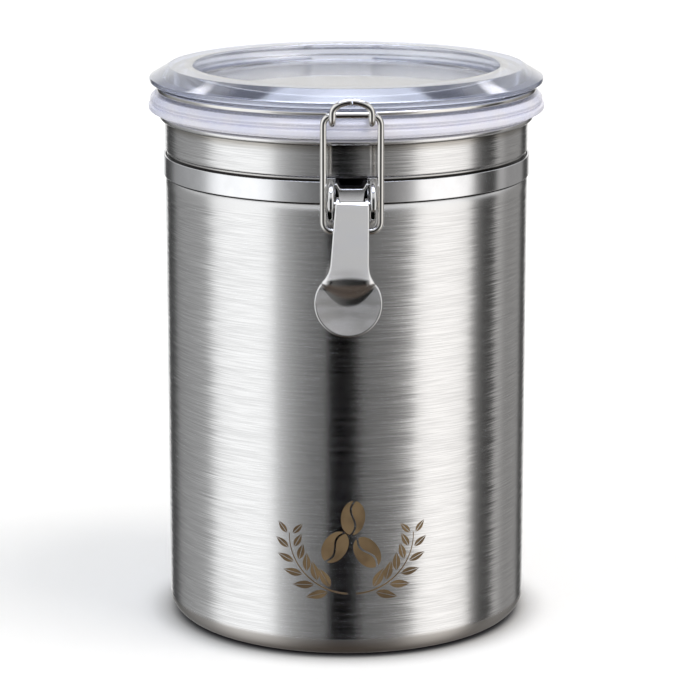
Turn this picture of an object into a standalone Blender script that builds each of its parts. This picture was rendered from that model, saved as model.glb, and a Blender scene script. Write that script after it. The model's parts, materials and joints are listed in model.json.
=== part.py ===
"""Coffee canister with a clamp lid: a drawn steel can, a strap that carries the
latch and the hinge, and a clear lid held by one bent wire.

Metres, +Z up. The origin is the middle of the base, on the surface that the can
stands on. The latch faces -Y and the hinge is at +Y.
"""

import math

import bmesh
import bpy
from mathutils import Matrix, Vector

COLLECTION_NAME = "coffee_canister"
CUTTER_COLLECTION_NAME = "cutters"

QUARTER_TURN = math.pi / 2
HALF_TURN = math.pi
FULL_TURN = 2 * math.pi

# Counts and merge distances
FACETS = 60
WIRE_SIDES_RESOLUTION = 2
EDGE_STEPS = 2
CORNER_STEPS = 4
BEAD_STEPS = 6
HALF_ROUND_STEPS = 8
CIRCLE_STEPS = 16
MERGE_DISTANCE = 0.00001

# Clearances
SEAT_GAP = 0.0003
PIN_CLEARANCE = 0.0003
HOOK_CLEARANCE = 0.0004
EAR_CLEARANCE = 0.0006
PLUG_SWING_CLEARANCE = 0.0006

# Can
CAN_RADIUS = 0.0600
CAN_SHEET = 0.0007
CAN_HEIGHT = 0.1701
BASE_CORNER_RADIUS = 0.0068
RIM_BEAD_RADIUS = 0.0013
RIM_OVERHANG = 0.0022
RIM_CURL_START = math.radians(150)

# Strap and the groove that it sits in
BAND_HEIGHT = 0.0072
BAND_THICKNESS = 0.0008
BAND_BELOW_RIM = 0.0131
GROOVE_DEPTH = 0.0005
GROOVE_SHOULDER_HEIGHT = 0.0030
GROOVE_TOP_STEP = 0.0007

# Gasket
GASKET_OVERHANG = 0.0053
GASKET_HEIGHT = 0.0063
GASKET_UPPER_INSET = 0.0006
GASKET_LIP_DEPTH = 0.0005
GASKET_CHAMFER = 0.0013
GASKET_FOOT_CHAMFER = 0.0026
GASKET_LOWER_SHARE = 0.52

# Lid
PLUG_SIDE_GAP = 0.0019
PLUG_DEPTH = 0.0051
PLUG_WALL = 0.0014
HOOP_GROOVE_DEPTH = 0.00415
HOOP_GROOVE_HEIGHT = 0.0025
LIP_INSET = 0.00095
LIP_HEIGHT = 0.0025
LID_BEVEL_RISE = 0.0037
LID_BEVEL_RUN = 0.00575
LID_EDGE_ROUND = 0.0005
LID_TOP_RING_WIDTH = 0.0080
LID_RECESS_DEPTH = 0.0056
LID_RECESS_DRAFT = 0.0008
LID_FLOOR_THICKNESS = 0.0025

# Wire of the hoop, with its keeper arch and hooks
HOOP_WIRE_RADIUS = 0.0011
HOOP_BEND_RADIUS = 0.0020
KEEPER_SIDE_GAP = 0.00115
KEEPER_ARCH_RISE = 0.0036
KEEPER_POST_HEIGHT = 0.0010
KEEPER_LEAN = 0.0003
KEEPER_STAND_OUT = 0.0032
KEEPER_ABOVE_HOOP = 0.0006
HOOK_END = math.radians(-36)
RING_END_FACET_SHARE = 0.3
HINGE_HALF_WIDTH = 0.0123

# Bail
BAIL_WIRE_RADIUS = 0.00105
BAIL_SIDE_GAP = 0.00045
BAIL_CORNER_RADIUS = 0.0030

# Lever and its pin
PIN_AHEAD_OF_KEEPER = 0.0007
PIN_BELOW_BAND_TOP = 0.0060
PIN_RADIUS = 0.0010
PIN_HEAD_RADIUS = 0.0016
PIN_HEAD_THICKNESS = 0.0004
CRANK_DROP = 0.0087
CRANK_SET_BACK = 0.0017
LEVER_SHEET = 0.0010
LEVER_FRONT_GAP = 0.0010
LEVER_TOP_HALF_WIDTH = 0.0051
LEVER_WAIST_HALF_WIDTH = 0.00585
LEVER_TOP_RISE = 0.0009
LEVER_WAIST_DROP = 0.0198
LEVER_CREASE_DROP = 0.0245
LEVER_CORNER_RADIUS = 0.0006
LEVER_EYE_WALL = 0.0009
LEVER_FLANGE_INSET = 0.0002
LEVER_FLANGE_TAIL = 0.0020
DISC_RADIUS = 0.0106
DISC_DROP = 0.0306
DISC_FILLET_RADIUS = 0.0030
DISC_TILT = math.radians(14)

# Latch bracket
BRACKET_SHEET = 0.0008
BRACKET_WING_WIDTH = 0.0014
BRACKET_RISE = 0.0010
BRACKET_DROP = 0.0081
BRACKET_CORNER_RADIUS = 0.0030
EAR_SHEET = 0.0010
EAR_BEYOND_PIN = 0.0024
EAR_BELOW_PIN = 0.0021
EAR_TOP_FLAT = 0.0020
EAR_BELOW_PLATE_TOP = 0.0002
EAR_FOOT_RADIUS = 0.0014
SLOT_WIDTH = 0.0013
SLOT_HEIGHT = 0.0034
SLOT_BELOW_EAR = 0.0002
TONGUE_TOP_HALF_WIDTH = 0.0044
TONGUE_FOOT_HALF_WIDTH = 0.0035
TONGUE_LENGTH = 0.0082
TONGUE_FOOT_RISE = 0.0058
TONGUE_LEAN = math.radians(20)

# Hinge bracket
HINGE_PLATE_SHEET = 0.0008
HINGE_PLATE_DROP = 0.0030
KNUCKLE_SHEET = 0.0008
KNUCKLE_SIDE_GAP = 0.0006

# Places that follow from the sizes above
BAND_TOP = CAN_HEIGHT - BAND_BELOW_RIM
BAND_BOTTOM = BAND_TOP - BAND_HEIGHT
BAND_MIDDLE = (BAND_TOP + BAND_BOTTOM) / 2
GROOVE_RADIUS = CAN_RADIUS - GROOVE_DEPTH
BAND_INNER_RADIUS = GROOVE_RADIUS + SEAT_GAP
BAND_OUTER_RADIUS = BAND_INNER_RADIUS + BAND_THICKNESS

RIM_OUTER_RADIUS = CAN_RADIUS + RIM_OVERHANG
GASKET_RADIUS = CAN_RADIUS + GASKET_OVERHANG
PLUG_RADIUS = CAN_RADIUS - CAN_SHEET - PLUG_SIDE_GAP
LIP_RADIUS = GASKET_RADIUS - LIP_INSET
LID_NECK_RADIUS = LIP_RADIUS - HOOP_GROOVE_DEPTH
LID_TOP_RADIUS = LIP_RADIUS - LID_BEVEL_RUN
LID_WINDOW_RADIUS = LID_TOP_RADIUS - LID_TOP_RING_WIDTH

GASKET_BOTTOM = CAN_HEIGHT + SEAT_GAP
GASKET_TOP = GASKET_BOTTOM + GASKET_HEIGHT
LID_SEAT = GASKET_TOP + SEAT_GAP
LIP_BOTTOM = LID_SEAT + HOOP_GROOVE_HEIGHT
LIP_TOP = LIP_BOTTOM + LIP_HEIGHT
LID_TOP = LIP_TOP + LID_BEVEL_RISE
LID_FLOOR_TOP = LID_TOP - LID_RECESS_DEPTH
LID_FLOOR_BOTTOM = LID_FLOOR_TOP - LID_FLOOR_THICKNESS
PLUG_BOTTOM = CAN_HEIGHT - PLUG_DEPTH

HOOP_RADIUS = LID_NECK_RADIUS + SEAT_GAP + HOOP_WIRE_RADIUS
HOOP_HEIGHT = (LID_SEAT + LIP_BOTTOM) / 2
HINGE_Y = GASKET_RADIUS + HOOP_WIRE_RADIUS
HINGE_Z = BAND_MIDDLE

KEEPER_BAR_Y = -(GASKET_RADIUS + KEEPER_STAND_OUT)
KEEPER_BAR_Z = HOOP_HEIGHT + KEEPER_ABOVE_HOOP
HOOK_RADIUS = HOOP_WIRE_RADIUS + BAIL_WIRE_RADIUS + HOOK_CLEARANCE

PIN_Y = KEEPER_BAR_Y - PIN_AHEAD_OF_KEEPER
PIN_Z = BAND_TOP - PIN_BELOW_BAND_TOP
CRANK_Y = PIN_Y + CRANK_SET_BACK
CRANK_Z = PIN_Z - CRANK_DROP
BAIL_LENGTH = math.hypot(KEEPER_BAR_Y - CRANK_Y, KEEPER_BAR_Z - CRANK_Z)
BAIL_LEAN = math.atan2(CRANK_Y - KEEPER_BAR_Y, KEEPER_BAR_Z - CRANK_Z)
PIN_HOLE_RADIUS = PIN_RADIUS + PIN_CLEARANCE
BAIL_HOLE_RADIUS = BAIL_WIRE_RADIUS + PIN_CLEARANCE
PIN_EYE_RADIUS = PIN_HOLE_RADIUS + LEVER_EYE_WALL
BAIL_EYE_RADIUS = BAIL_HOLE_RADIUS + LEVER_EYE_WALL
LEVER_WEB_Y = PIN_Y - PIN_RADIUS - LEVER_FRONT_GAP - LEVER_SHEET / 2
EAR_INNER = LEVER_TOP_HALF_WIDTH + EAR_CLEARANCE
EAR_OUTER = EAR_INNER + EAR_SHEET
BRACKET_HALF_WIDTH = EAR_OUTER + BRACKET_WING_WIDTH
PIN_SHANK_END = EAR_OUTER + SEAT_GAP
PIN_END = PIN_SHANK_END + PIN_HEAD_THICKNESS
BAIL_HALF_WIDTH = PIN_END + BAIL_SIDE_GAP + BAIL_WIRE_RADIUS
KEEPER_HALF_WIDTH = BAIL_HALF_WIDTH - BAIL_WIRE_RADIUS - HOOP_WIRE_RADIUS - KEEPER_SIDE_GAP
BRACKET_Y = -(BAND_OUTER_RADIUS + SEAT_GAP + BRACKET_SHEET / 2)

# Colours, as linear red, green, blue
STEEL_COLOUR = (0.56, 0.56, 0.57)
POLISHED_COLOUR = (0.68, 0.69, 0.71)
CLEAR_COLOUR = (0.70, 0.73, 0.84)
GASKET_COLOUR = (0.62, 0.61, 0.68)

# Finishes of the materials
BRUSHED_ROUGHNESS = 0.28
POLISHED_ROUGHNESS = 0.10
CLEAR_ROUGHNESS = 0.05
CLEAR_TRANSMISSION = 0.9
SOFT_ROUGHNESS = 0.45


def clear_scene():
    """Remove every object of the scene that the script starts in."""
    for item in list(bpy.data.objects):
        bpy.data.objects.remove(item, do_unlink=True)


def new_collection(name, hidden=False):
    """Make a collection of the scene."""
    collection = bpy.data.collections.new(name)
    bpy.context.scene.collection.children.link(collection)
    collection.hide_render = hidden
    return collection


def new_material(name, colour, roughness, metallic=0.0, transmission=0.0):
    """Make a material of one colour, roughness and metallic value."""
    material = bpy.data.materials.new(name)
    material.use_nodes = True
    shader = material.node_tree.nodes["Principled BSDF"]
    shader.inputs["Base Color"].default_value = (*colour, 1.0)
    shader.inputs["Metallic"].default_value = metallic
    shader.inputs["Roughness"].default_value = roughness
    shader.inputs["Transmission Weight"].default_value = transmission
    return material


def arc(centre, radius, start, end, steps):
    """Give the points of an arc in a plane, from one angle to another."""
    points = []
    for step in range(steps + 1):
        angle = start + (end - start) * step / steps
        points.append((centre[0] + radius * math.cos(angle), centre[1] + radius * math.sin(angle)))
    return points


def add_object(name, data, material, collection):
    """Put a mesh or curve in the scene as a named object."""
    item = bpy.data.objects.new(name, data)
    item.data.materials.append(material)
    collection.objects.link(item)
    return item


def turned(name, profile, material, collection, closed=False):
    """Turn a profile of (radius, height) points about Z.

    The profile runs down the outer side, top to bottom.
    """
    mesh = bpy.data.meshes.new(name)
    edges = [(index, index + 1) for index in range(len(profile) - 1)]
    if closed:
        edges.append((len(profile) - 1, 0))
    mesh.from_pydata([(radius, 0, height) for radius, height in profile], edges, [])
    item = add_object(name, mesh, material, collection)
    screw = item.modifiers.new("turn", "SCREW")
    screw.axis = "Z"
    screw.angle = FULL_TURN
    screw.steps = FACETS
    screw.render_steps = FACETS
    screw.use_merge_vertices = True
    screw.merge_threshold = MERGE_DISTANCE
    screw.use_smooth_shade = True
    return item


def wire(name, points, radius, material, collection):
    """Bend a closed wire along its points."""
    curve = bpy.data.curves.new(name, "CURVE")
    curve.dimensions = "3D"
    curve.bevel_depth = radius
    curve.bevel_resolution = WIRE_SIDES_RESOLUTION
    curve.use_fill_caps = True
    spline = curve.splines.new("POLY")
    spline.points.add(len(points) - 1)
    for point, place in zip(spline.points, points):
        point.co = (*place, 1.0)
    spline.use_cyclic_u = True
    return add_object(name, curve, material, collection)


def plate(name, outlines, thickness, material, collection):
    """Cut a flat plate from its outline and holes, and return it as a mesh object.

    The outlines lie in the object's XY plane and the thickness is centred on it.
    """
    curve = bpy.data.curves.new(name, "CURVE")
    curve.dimensions = "2D"
    curve.fill_mode = "BOTH"
    curve.extrude = thickness / 2
    for outline in outlines:
        spline = curve.splines.new("POLY")
        spline.points.add(len(outline) - 1)
        for point, place in zip(spline.points, outline):
            point.co = (place[0], place[1], 0, 1.0)
        spline.use_cyclic_u = True
    flat = bpy.data.objects.new(name + "_outline", curve)
    collection.objects.link(flat)
    bpy.context.view_layer.update()
    evaluated = flat.evaluated_get(bpy.context.evaluated_depsgraph_get())
    mesh = bpy.data.meshes.new_from_object(evaluated)
    mesh.name = name
    place = flat.matrix_world.copy()
    bpy.data.objects.remove(flat, do_unlink=True)
    solid = bmesh.new()
    solid.from_mesh(mesh)
    bmesh.ops.remove_doubles(solid, verts=solid.verts, dist=MERGE_DISTANCE)
    solid.to_mesh(mesh)
    solid.free()
    item = add_object(name, mesh, material, collection)
    item.matrix_world = place
    return item


def stand_in_front_plane(item, y):
    """Stand a plate up in an XZ plane: its outline's second coordinate becomes height."""
    item.rotation_euler = (QUARTER_TURN, 0, 0)
    item.location = (0, y, 0)


def stand_in_side_plane(item, x):
    """Stand a plate up in a YZ plane: its outline's coordinates become Y and Z."""
    item.rotation_euler = (QUARTER_TURN, 0, QUARTER_TURN)
    item.location = (x, 0, 0)


def unite(item, others, cutters):
    """Join other solids to one with Boolean unions."""
    for other in others:
        for collection in other.users_collection:
            collection.objects.unlink(other)
        cutters.objects.link(other)
        other.hide_render = True
        other.display_type = "WIRE"
        union = item.modifiers.new("join_" + other.name, "BOOLEAN")
        union.operation = "UNION"
        union.solver = "EXACT"
        union.object = other


def axis_empty(name, place, collection):
    """Mark a joint's axis with an empty."""
    empty = bpy.data.objects.new(name, None)
    empty.location = place
    collection.objects.link(empty)
    return empty


def hang_on(items, empty):
    """Parent pieces to the empty of their joint, without moving them."""
    for item in items:
        item.parent = empty
        item.location = item.location - empty.location


def rounded_corner(middle, radius, start):
    """Give the quarter arc that rounds a convex corner, about the arc's middle."""
    return arc(middle, radius, start, start + QUARTER_TURN, CORNER_STEPS)


def can_profile():
    """Profile of the can, up the inside, over the rim and down the outside."""
    inner_radius = CAN_RADIUS - CAN_SHEET
    groove_inner = GROOVE_RADIUS - CAN_SHEET
    shoulder_top = BAND_BOTTOM - SEAT_GAP
    shoulder_bottom = shoulder_top - GROOVE_SHOULDER_HEIGHT
    groove_top = BAND_TOP + GROOVE_TOP_STEP
    corner_middle = (CAN_RADIUS - BASE_CORNER_RADIUS, BASE_CORNER_RADIUS)
    bead_middle = (RIM_OUTER_RADIUS - RIM_BEAD_RADIUS, CAN_HEIGHT - RIM_BEAD_RADIUS)

    points = [(0, CAN_SHEET)]
    points += arc(corner_middle, BASE_CORNER_RADIUS - CAN_SHEET, -QUARTER_TURN, 0, CORNER_STEPS)
    points += [
        (inner_radius, shoulder_bottom),
        (groove_inner, shoulder_top),
        (groove_inner, groove_top),
        (inner_radius, groove_top + GROOVE_DEPTH),
        (inner_radius, bead_middle[1]),
    ]
    points += arc(bead_middle, RIM_BEAD_RADIUS, RIM_CURL_START, -QUARTER_TURN, BEAD_STEPS)
    points += [
        (CAN_RADIUS, bead_middle[1] - RIM_BEAD_RADIUS),
        (CAN_RADIUS, groove_top + GROOVE_DEPTH),
        (GROOVE_RADIUS, groove_top),
        (GROOVE_RADIUS, shoulder_top),
    ]
    for step in range(1, CORNER_STEPS + 1):
        turn = QUARTER_TURN * step / CORNER_STEPS
        points.append((
            GROOVE_RADIUS + GROOVE_DEPTH * math.sin(turn),
            shoulder_bottom + GROOVE_SHOULDER_HEIGHT * math.cos(turn),
        ))
    points += arc(corner_middle, BASE_CORNER_RADIUS, 0, -QUARTER_TURN, CORNER_STEPS)
    points.append((0, 0))
    return points


def band_profile():
    """Profile of the strap, down its outside and up its inside."""
    return [
        (BAND_INNER_RADIUS, BAND_TOP),
        (BAND_OUTER_RADIUS, BAND_TOP),
        (BAND_OUTER_RADIUS, BAND_BOTTOM),
        (BAND_INNER_RADIUS, BAND_BOTTOM),
    ]


def plug_radius_at(height):
    """Radius of the plug at a height: it shrinks as the rim's swing needs."""
    bead_y = RIM_OUTER_RADIUS - RIM_BEAD_RADIUS
    bead_z = CAN_HEIGHT - RIM_BEAD_RADIUS
    rim_reach = math.hypot(HINGE_Y - bead_y, bead_z - HINGE_Z) + RIM_BEAD_RADIUS
    reach = rim_reach + PLUG_SWING_CLEARANCE
    return HINGE_Y - math.sqrt(reach ** 2 - (height - HINGE_Z) ** 2)


def lid_profile():
    """Profile of the clear lid, out over its top and down to the plug, and back inside."""
    recess_radius = LID_WINDOW_RADIUS - LID_RECESS_DRAFT
    points = [
        (0, LID_FLOOR_TOP),
        (recess_radius - LID_EDGE_ROUND, LID_FLOOR_TOP),
        (recess_radius, LID_FLOOR_TOP + LID_EDGE_ROUND),
        (LID_WINDOW_RADIUS, LID_TOP - LID_EDGE_ROUND),
        (LID_WINDOW_RADIUS + LID_EDGE_ROUND, LID_TOP),
        (LID_TOP_RADIUS, LID_TOP),
        (LIP_RADIUS - LID_EDGE_ROUND, LIP_TOP + LID_EDGE_ROUND),
        (LIP_RADIUS, LIP_TOP),
        (LIP_RADIUS, LIP_BOTTOM),
        (LID_NECK_RADIUS, LIP_BOTTOM),
        (LID_NECK_RADIUS, LID_SEAT),
        (PLUG_RADIUS, LID_SEAT),
    ]
    swing_top = CAN_HEIGHT - LID_EDGE_ROUND
    points.append((PLUG_RADIUS, swing_top))
    for step in range(CORNER_STEPS + 1):
        height = swing_top + (PLUG_BOTTOM - swing_top) * step / CORNER_STEPS
        radius = plug_radius_at(height)
        if radius < PLUG_RADIUS:
            points.append((radius, height))
    foot_radius = plug_radius_at(PLUG_BOTTOM)
    points += [
        (foot_radius - PLUG_WALL, PLUG_BOTTOM),
        (foot_radius - PLUG_WALL - LID_RECESS_DRAFT, LID_FLOOR_BOTTOM),
        (0, LID_FLOOR_BOTTOM),
    ]
    return points


def gasket_profile():
    """Profile of the sealing ring: two rolls outside, with a groove between."""
    upper_radius = GASKET_RADIUS - GASKET_UPPER_INSET
    split = GASKET_BOTTOM + GASKET_HEIGHT * GASKET_LOWER_SHARE
    inner_radius = PLUG_RADIUS + SEAT_GAP
    return [
        (inner_radius, GASKET_TOP),
        (upper_radius - GASKET_CHAMFER, GASKET_TOP),
        (upper_radius, GASKET_TOP - GASKET_CHAMFER),
        (upper_radius, split + GASKET_LIP_DEPTH),
        (upper_radius - GASKET_LIP_DEPTH, split),
        (GASKET_RADIUS, split - GASKET_LIP_DEPTH),
        (GASKET_RADIUS, GASKET_BOTTOM + GASKET_CHAMFER),
        (GASKET_RADIUS - GASKET_FOOT_CHAMFER, GASKET_BOTTOM),
        (inner_radius, GASKET_BOTTOM),
    ]


def ring_point(angle):
    """Point of the hoop's ring at an angle from the front, towards +X."""
    return (HOOP_RADIUS * math.sin(angle), -HOOP_RADIUS * math.cos(angle), HOOP_HEIGHT)


def hoop_points():
    """Route of the hoop's wire on the +X side, from the keeper's top to the hinge's middle."""
    points = []
    post_top = KEEPER_BAR_Z + KEEPER_POST_HEIGHT
    for step in range(CORNER_STEPS + 1):
        turn = QUARTER_TURN * step / CORNER_STEPS
        rise = KEEPER_ARCH_RISE * math.cos(turn)
        lean = KEEPER_LEAN * math.cos(turn)
        points.append((
            KEEPER_HALF_WIDTH * math.sin(turn),
            KEEPER_BAR_Y - HOOK_RADIUS - lean,
            post_top + rise,
        ))
    hook = arc((KEEPER_BAR_Y, KEEPER_BAR_Z), HOOK_RADIUS, -HALF_TURN, HOOK_END, BEAD_STEPS)
    points += [(KEEPER_HALF_WIDTH, y, z) for y, z in hook]

    foot_angle = math.asin((KEEPER_HALF_WIDTH + HOOP_BEND_RADIUS) / HOOP_RADIUS)
    ring_y = -HOOP_RADIUS * math.cos(foot_angle)
    points.append((KEEPER_HALF_WIDTH, -GASKET_RADIUS, HOOP_HEIGHT))
    bend = arc((KEEPER_HALF_WIDTH + HOOP_BEND_RADIUS, ring_y - HOOP_BEND_RADIUS), HOOP_BEND_RADIUS,
               HALF_TURN, QUARTER_TURN, CORNER_STEPS)
    points += [(x, y, HOOP_HEIGHT) for x, y in bend]

    rear_angle = math.asin((HINGE_HALF_WIDTH + HOOP_BEND_RADIUS) / HOOP_RADIUS)
    facet = FULL_TURN / FACETS
    first = math.ceil(foot_angle / facet + RING_END_FACET_SHARE)
    last = math.floor((HALF_TURN - rear_angle) / facet - RING_END_FACET_SHARE)
    points += [ring_point(facet * index) for index in range(first, last + 1)]

    rear_y = HOOP_RADIUS * math.cos(rear_angle)
    rear_bend = arc((HINGE_HALF_WIDTH + HOOP_BEND_RADIUS, rear_y + HOOP_BEND_RADIUS), HOOP_BEND_RADIUS,
                    -QUARTER_TURN, -HALF_TURN, CORNER_STEPS)
    points += [(x, y, HOOP_HEIGHT) for x, y in rear_bend]

    leg_top = HOOP_HEIGHT - HOOP_BEND_RADIUS
    down = arc((HINGE_Y - HOOP_BEND_RADIUS, leg_top), HOOP_BEND_RADIUS, QUARTER_TURN, 0, CORNER_STEPS)
    points += [(HINGE_HALF_WIDTH, y, z) for y, z in down]
    leg_foot = HINGE_Z + HOOP_BEND_RADIUS
    under = arc((HINGE_HALF_WIDTH - HOOP_BEND_RADIUS, leg_foot), HOOP_BEND_RADIUS,
                0, -QUARTER_TURN, CORNER_STEPS)
    points += [(x, HINGE_Y, z) for x, z in under]
    return points


def build_hoop(material, collection):
    """Bend the hoop from one wire, mirrored about the middle."""
    right = hoop_points()
    left = [(-x, y, z) for x, y, z in reversed(right) if x > 0]
    return wire("lid_hoop", right + left, HOOP_WIRE_RADIUS, material, collection)


def build_bail(material, collection):
    """Bend the bail's loop, standing on its lower bar."""
    half = BAIL_HALF_WIDTH - BAIL_CORNER_RADIUS
    low = BAIL_CORNER_RADIUS
    high = BAIL_LENGTH - BAIL_CORNER_RADIUS
    corners = [(half, low, -QUARTER_TURN), (half, high, 0),
               (-half, high, QUARTER_TURN), (-half, low, HALF_TURN)]
    flat = []
    for x, z, start in corners:
        flat += rounded_corner((x, z), BAIL_CORNER_RADIUS, start)
    bail = wire("bail", [(x, 0, z) for x, z in flat], BAIL_WIRE_RADIUS, material, collection)
    bail.location = (0, CRANK_Y, CRANK_Z)
    bail.rotation_euler = (BAIL_LEAN, 0, 0)
    return bail


def lever_outline():
    """Outline of the lever laid flat: strip, waist and round finger plate."""
    top = PIN_Z + LEVER_TOP_RISE
    waist = PIN_Z - LEVER_WAIST_DROP
    disc_middle = (0, PIN_Z - DISC_DROP)
    strip_half = LEVER_TOP_HALF_WIDTH - LEVER_CORNER_RADIUS
    right = arc((strip_half, top - LEVER_CORNER_RADIUS), LEVER_CORNER_RADIUS, QUARTER_TURN, 0,
                EDGE_STEPS)
    right.append((LEVER_WAIST_HALF_WIDTH, waist))

    fillet_x = LEVER_WAIST_HALF_WIDTH + DISC_FILLET_RADIUS
    reach = DISC_RADIUS + DISC_FILLET_RADIUS
    fillet_z = disc_middle[1] + math.sqrt(reach ** 2 - fillet_x ** 2)
    meet = math.atan2(fillet_z - disc_middle[1], fillet_x)
    fillet = arc((fillet_x, fillet_z), DISC_FILLET_RADIUS, HALF_TURN, HALF_TURN + meet, CORNER_STEPS)
    right += [point for point in fillet if point[1] < waist]
    right += arc(disc_middle, DISC_RADIUS, meet, -QUARTER_TURN, CIRCLE_STEPS)[1:]
    left = [(-x, z) for x, z in reversed(right[:-1])]
    return right + left


def bend_lever(mesh):
    """Bend the finger plate outwards at the crease."""
    crease = PIN_Z - LEVER_CREASE_DROP
    solid = bmesh.new()
    solid.from_mesh(mesh)
    geometry = solid.verts[:] + solid.edges[:] + solid.faces[:]
    bmesh.ops.bisect_plane(solid, geom=geometry, dist=MERGE_DISTANCE,
                           plane_co=(0, crease, 0), plane_no=(0, 1, 0))
    turn = Matrix.Rotation(-DISC_TILT, 4, "X")
    middle = Vector((0, crease, 0))
    for vertex in solid.verts:
        drop = vertex.co.y - crease
        if drop < -MERGE_DISTANCE:
            vertex.co = middle + turn @ (vertex.co - middle)
        elif drop < MERGE_DISTANCE:
            vertex.co.y -= vertex.co.z * math.tan(DISC_TILT / 2)
    bmesh.ops.triangulate(solid, faces=solid.faces[:])
    solid.to_mesh(mesh)
    solid.free()


def flange_outline():
    """Outline of one side of the lever's channel, with its pin eye and its bail eye."""
    tail = CRANK_Z - BAIL_EYE_RADIUS - LEVER_FLANGE_TAIL
    outline = [(LEVER_WEB_Y, PIN_Z)]
    outline += arc((PIN_Y, PIN_Z), PIN_EYE_RADIUS, HALF_TURN, 0, HALF_ROUND_STEPS)
    outline += arc((CRANK_Y, CRANK_Z), BAIL_EYE_RADIUS, 0, -QUARTER_TURN, CORNER_STEPS)
    outline.append((LEVER_WEB_Y, tail))
    return outline


def hole(middle, radius):
    """Outline of a round hole."""
    return arc(middle, radius, 0, FULL_TURN, CIRCLE_STEPS)[:-1]


def build_lever(material, collection, cutters):
    """Build the lever: a bent web joined to its two side flanges, which move with it."""
    lever = plate("lever", [lever_outline()], LEVER_SHEET, material, collection)
    bend_lever(lever.data)
    stand_in_front_plane(lever, LEVER_WEB_Y)
    outlines = [flange_outline(), hole((PIN_Y, PIN_Z), PIN_HOLE_RADIUS),
                hole((CRANK_Y, CRANK_Z), BAIL_HOLE_RADIUS)]
    flange_middle = LEVER_TOP_HALF_WIDTH - LEVER_FLANGE_INSET - LEVER_SHEET / 2
    flanges = []
    for side, name in ((1, "lever_flange_right"), (-1, "lever_flange_left")):
        flange = plate(name, outlines, LEVER_SHEET, material, collection)
        stand_in_side_plane(flange, side * flange_middle)
        flanges.append(flange)
    unite(lever, flanges, cutters)
    hang_on([lever, *flanges], axis_empty("lever_axis", (0, PIN_Y, PIN_Z), collection))
    return lever


def build_pin(material, collection):
    """Turn the lever's pin with a head at each end, and lay it along X."""
    half = [(0, PIN_END), (PIN_HEAD_RADIUS, PIN_END), (PIN_HEAD_RADIUS, PIN_SHANK_END),
            (PIN_RADIUS, PIN_SHANK_END)]
    profile = half + [(radius, -height) for radius, height in reversed(half)]
    pin = turned("lever_pin", profile, material, collection)
    pin.modifiers["turn"].steps = CIRCLE_STEPS
    pin.modifiers["turn"].render_steps = CIRCLE_STEPS
    pin.rotation_euler = (0, QUARTER_TURN, 0)
    pin.location = (0, PIN_Y, PIN_Z)
    return pin


def bracket_outline():
    """Outline of the latch bracket's plate, with rounded lower corners."""
    top = BAND_TOP + BRACKET_RISE
    bottom = BAND_BOTTOM - BRACKET_DROP
    low = bottom + BRACKET_CORNER_RADIUS
    side = BRACKET_HALF_WIDTH - BRACKET_CORNER_RADIUS
    outline = [(BRACKET_HALF_WIDTH, top), (-BRACKET_HALF_WIDTH, top)]
    outline += rounded_corner((-side, low), BRACKET_CORNER_RADIUS, HALF_TURN)
    outline += rounded_corner((side, low), BRACKET_CORNER_RADIUS, -QUARTER_TURN)
    return outline


def slot_outline(side):
    """Outline of the slot below an ear, with round ends, on one side of the middle."""
    middle = side * (EAR_INNER + EAR_OUTER) / 2
    half = SLOT_WIDTH / 2
    top = PIN_Z - EAR_BELOW_PIN - SLOT_BELOW_EAR - half
    bottom = top + SLOT_WIDTH - SLOT_HEIGHT
    upper_end = arc((middle, top), half, 0, HALF_TURN, CORNER_STEPS)
    return upper_end + arc((middle, bottom), half, HALF_TURN, FULL_TURN, CORNER_STEPS)


def ear_outline():
    """Outline of an ear: its top falls away in a quarter ellipse to the front, past the pin."""
    front = PIN_Y - EAR_BEYOND_PIN
    high = BAND_TOP + BRACKET_RISE - EAR_BELOW_PLATE_TOP
    low = PIN_Z - EAR_BELOW_PIN
    crown_y = BRACKET_Y - EAR_TOP_FLAT
    outline = [(BRACKET_Y, high)]
    for step in range(HALF_ROUND_STEPS + 1):
        turn = QUARTER_TURN * step / HALF_ROUND_STEPS
        outline.append((
            crown_y + (front - crown_y) * math.sin(turn),
            PIN_Z + (high - PIN_Z) * math.cos(turn),
        ))
    outline += rounded_corner((front + EAR_FOOT_RADIUS, low + EAR_FOOT_RADIUS), EAR_FOOT_RADIUS, HALF_TURN)
    outline.append((BRACKET_Y, low))
    return outline


def build_bracket(material, collection, cutters):
    """Build the latch bracket: plate, two ears and a tongue that leans forward."""
    outlines = [bracket_outline(), slot_outline(1), slot_outline(-1)]
    bracket = plate("latch_bracket", outlines, BRACKET_SHEET, material, collection)
    stand_in_front_plane(bracket, BRACKET_Y)
    parts = []
    for side, name in ((1, "ear_right"), (-1, "ear_left")):
        ear = plate(name, [ear_outline(), hole((PIN_Y, PIN_Z), PIN_HOLE_RADIUS)], EAR_SHEET,
                    material, collection)
        stand_in_side_plane(ear, side * (EAR_INNER + EAR_OUTER) / 2)
        parts.append(ear)
    tongue_outline = [
        (TONGUE_TOP_HALF_WIDTH, TONGUE_LENGTH), (-TONGUE_TOP_HALF_WIDTH, TONGUE_LENGTH),
        (-TONGUE_FOOT_HALF_WIDTH, 0), (TONGUE_FOOT_HALF_WIDTH, 0),
    ]
    tongue = plate("tongue", [tongue_outline], BRACKET_SHEET, material, collection)
    tongue.rotation_euler = (QUARTER_TURN + TONGUE_LEAN, 0, 0)
    tongue.location = (0, BRACKET_Y, BAND_BOTTOM - BRACKET_DROP + TONGUE_FOOT_RISE)
    parts.append(tongue)
    unite(bracket, parts, cutters)
    return bracket


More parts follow.
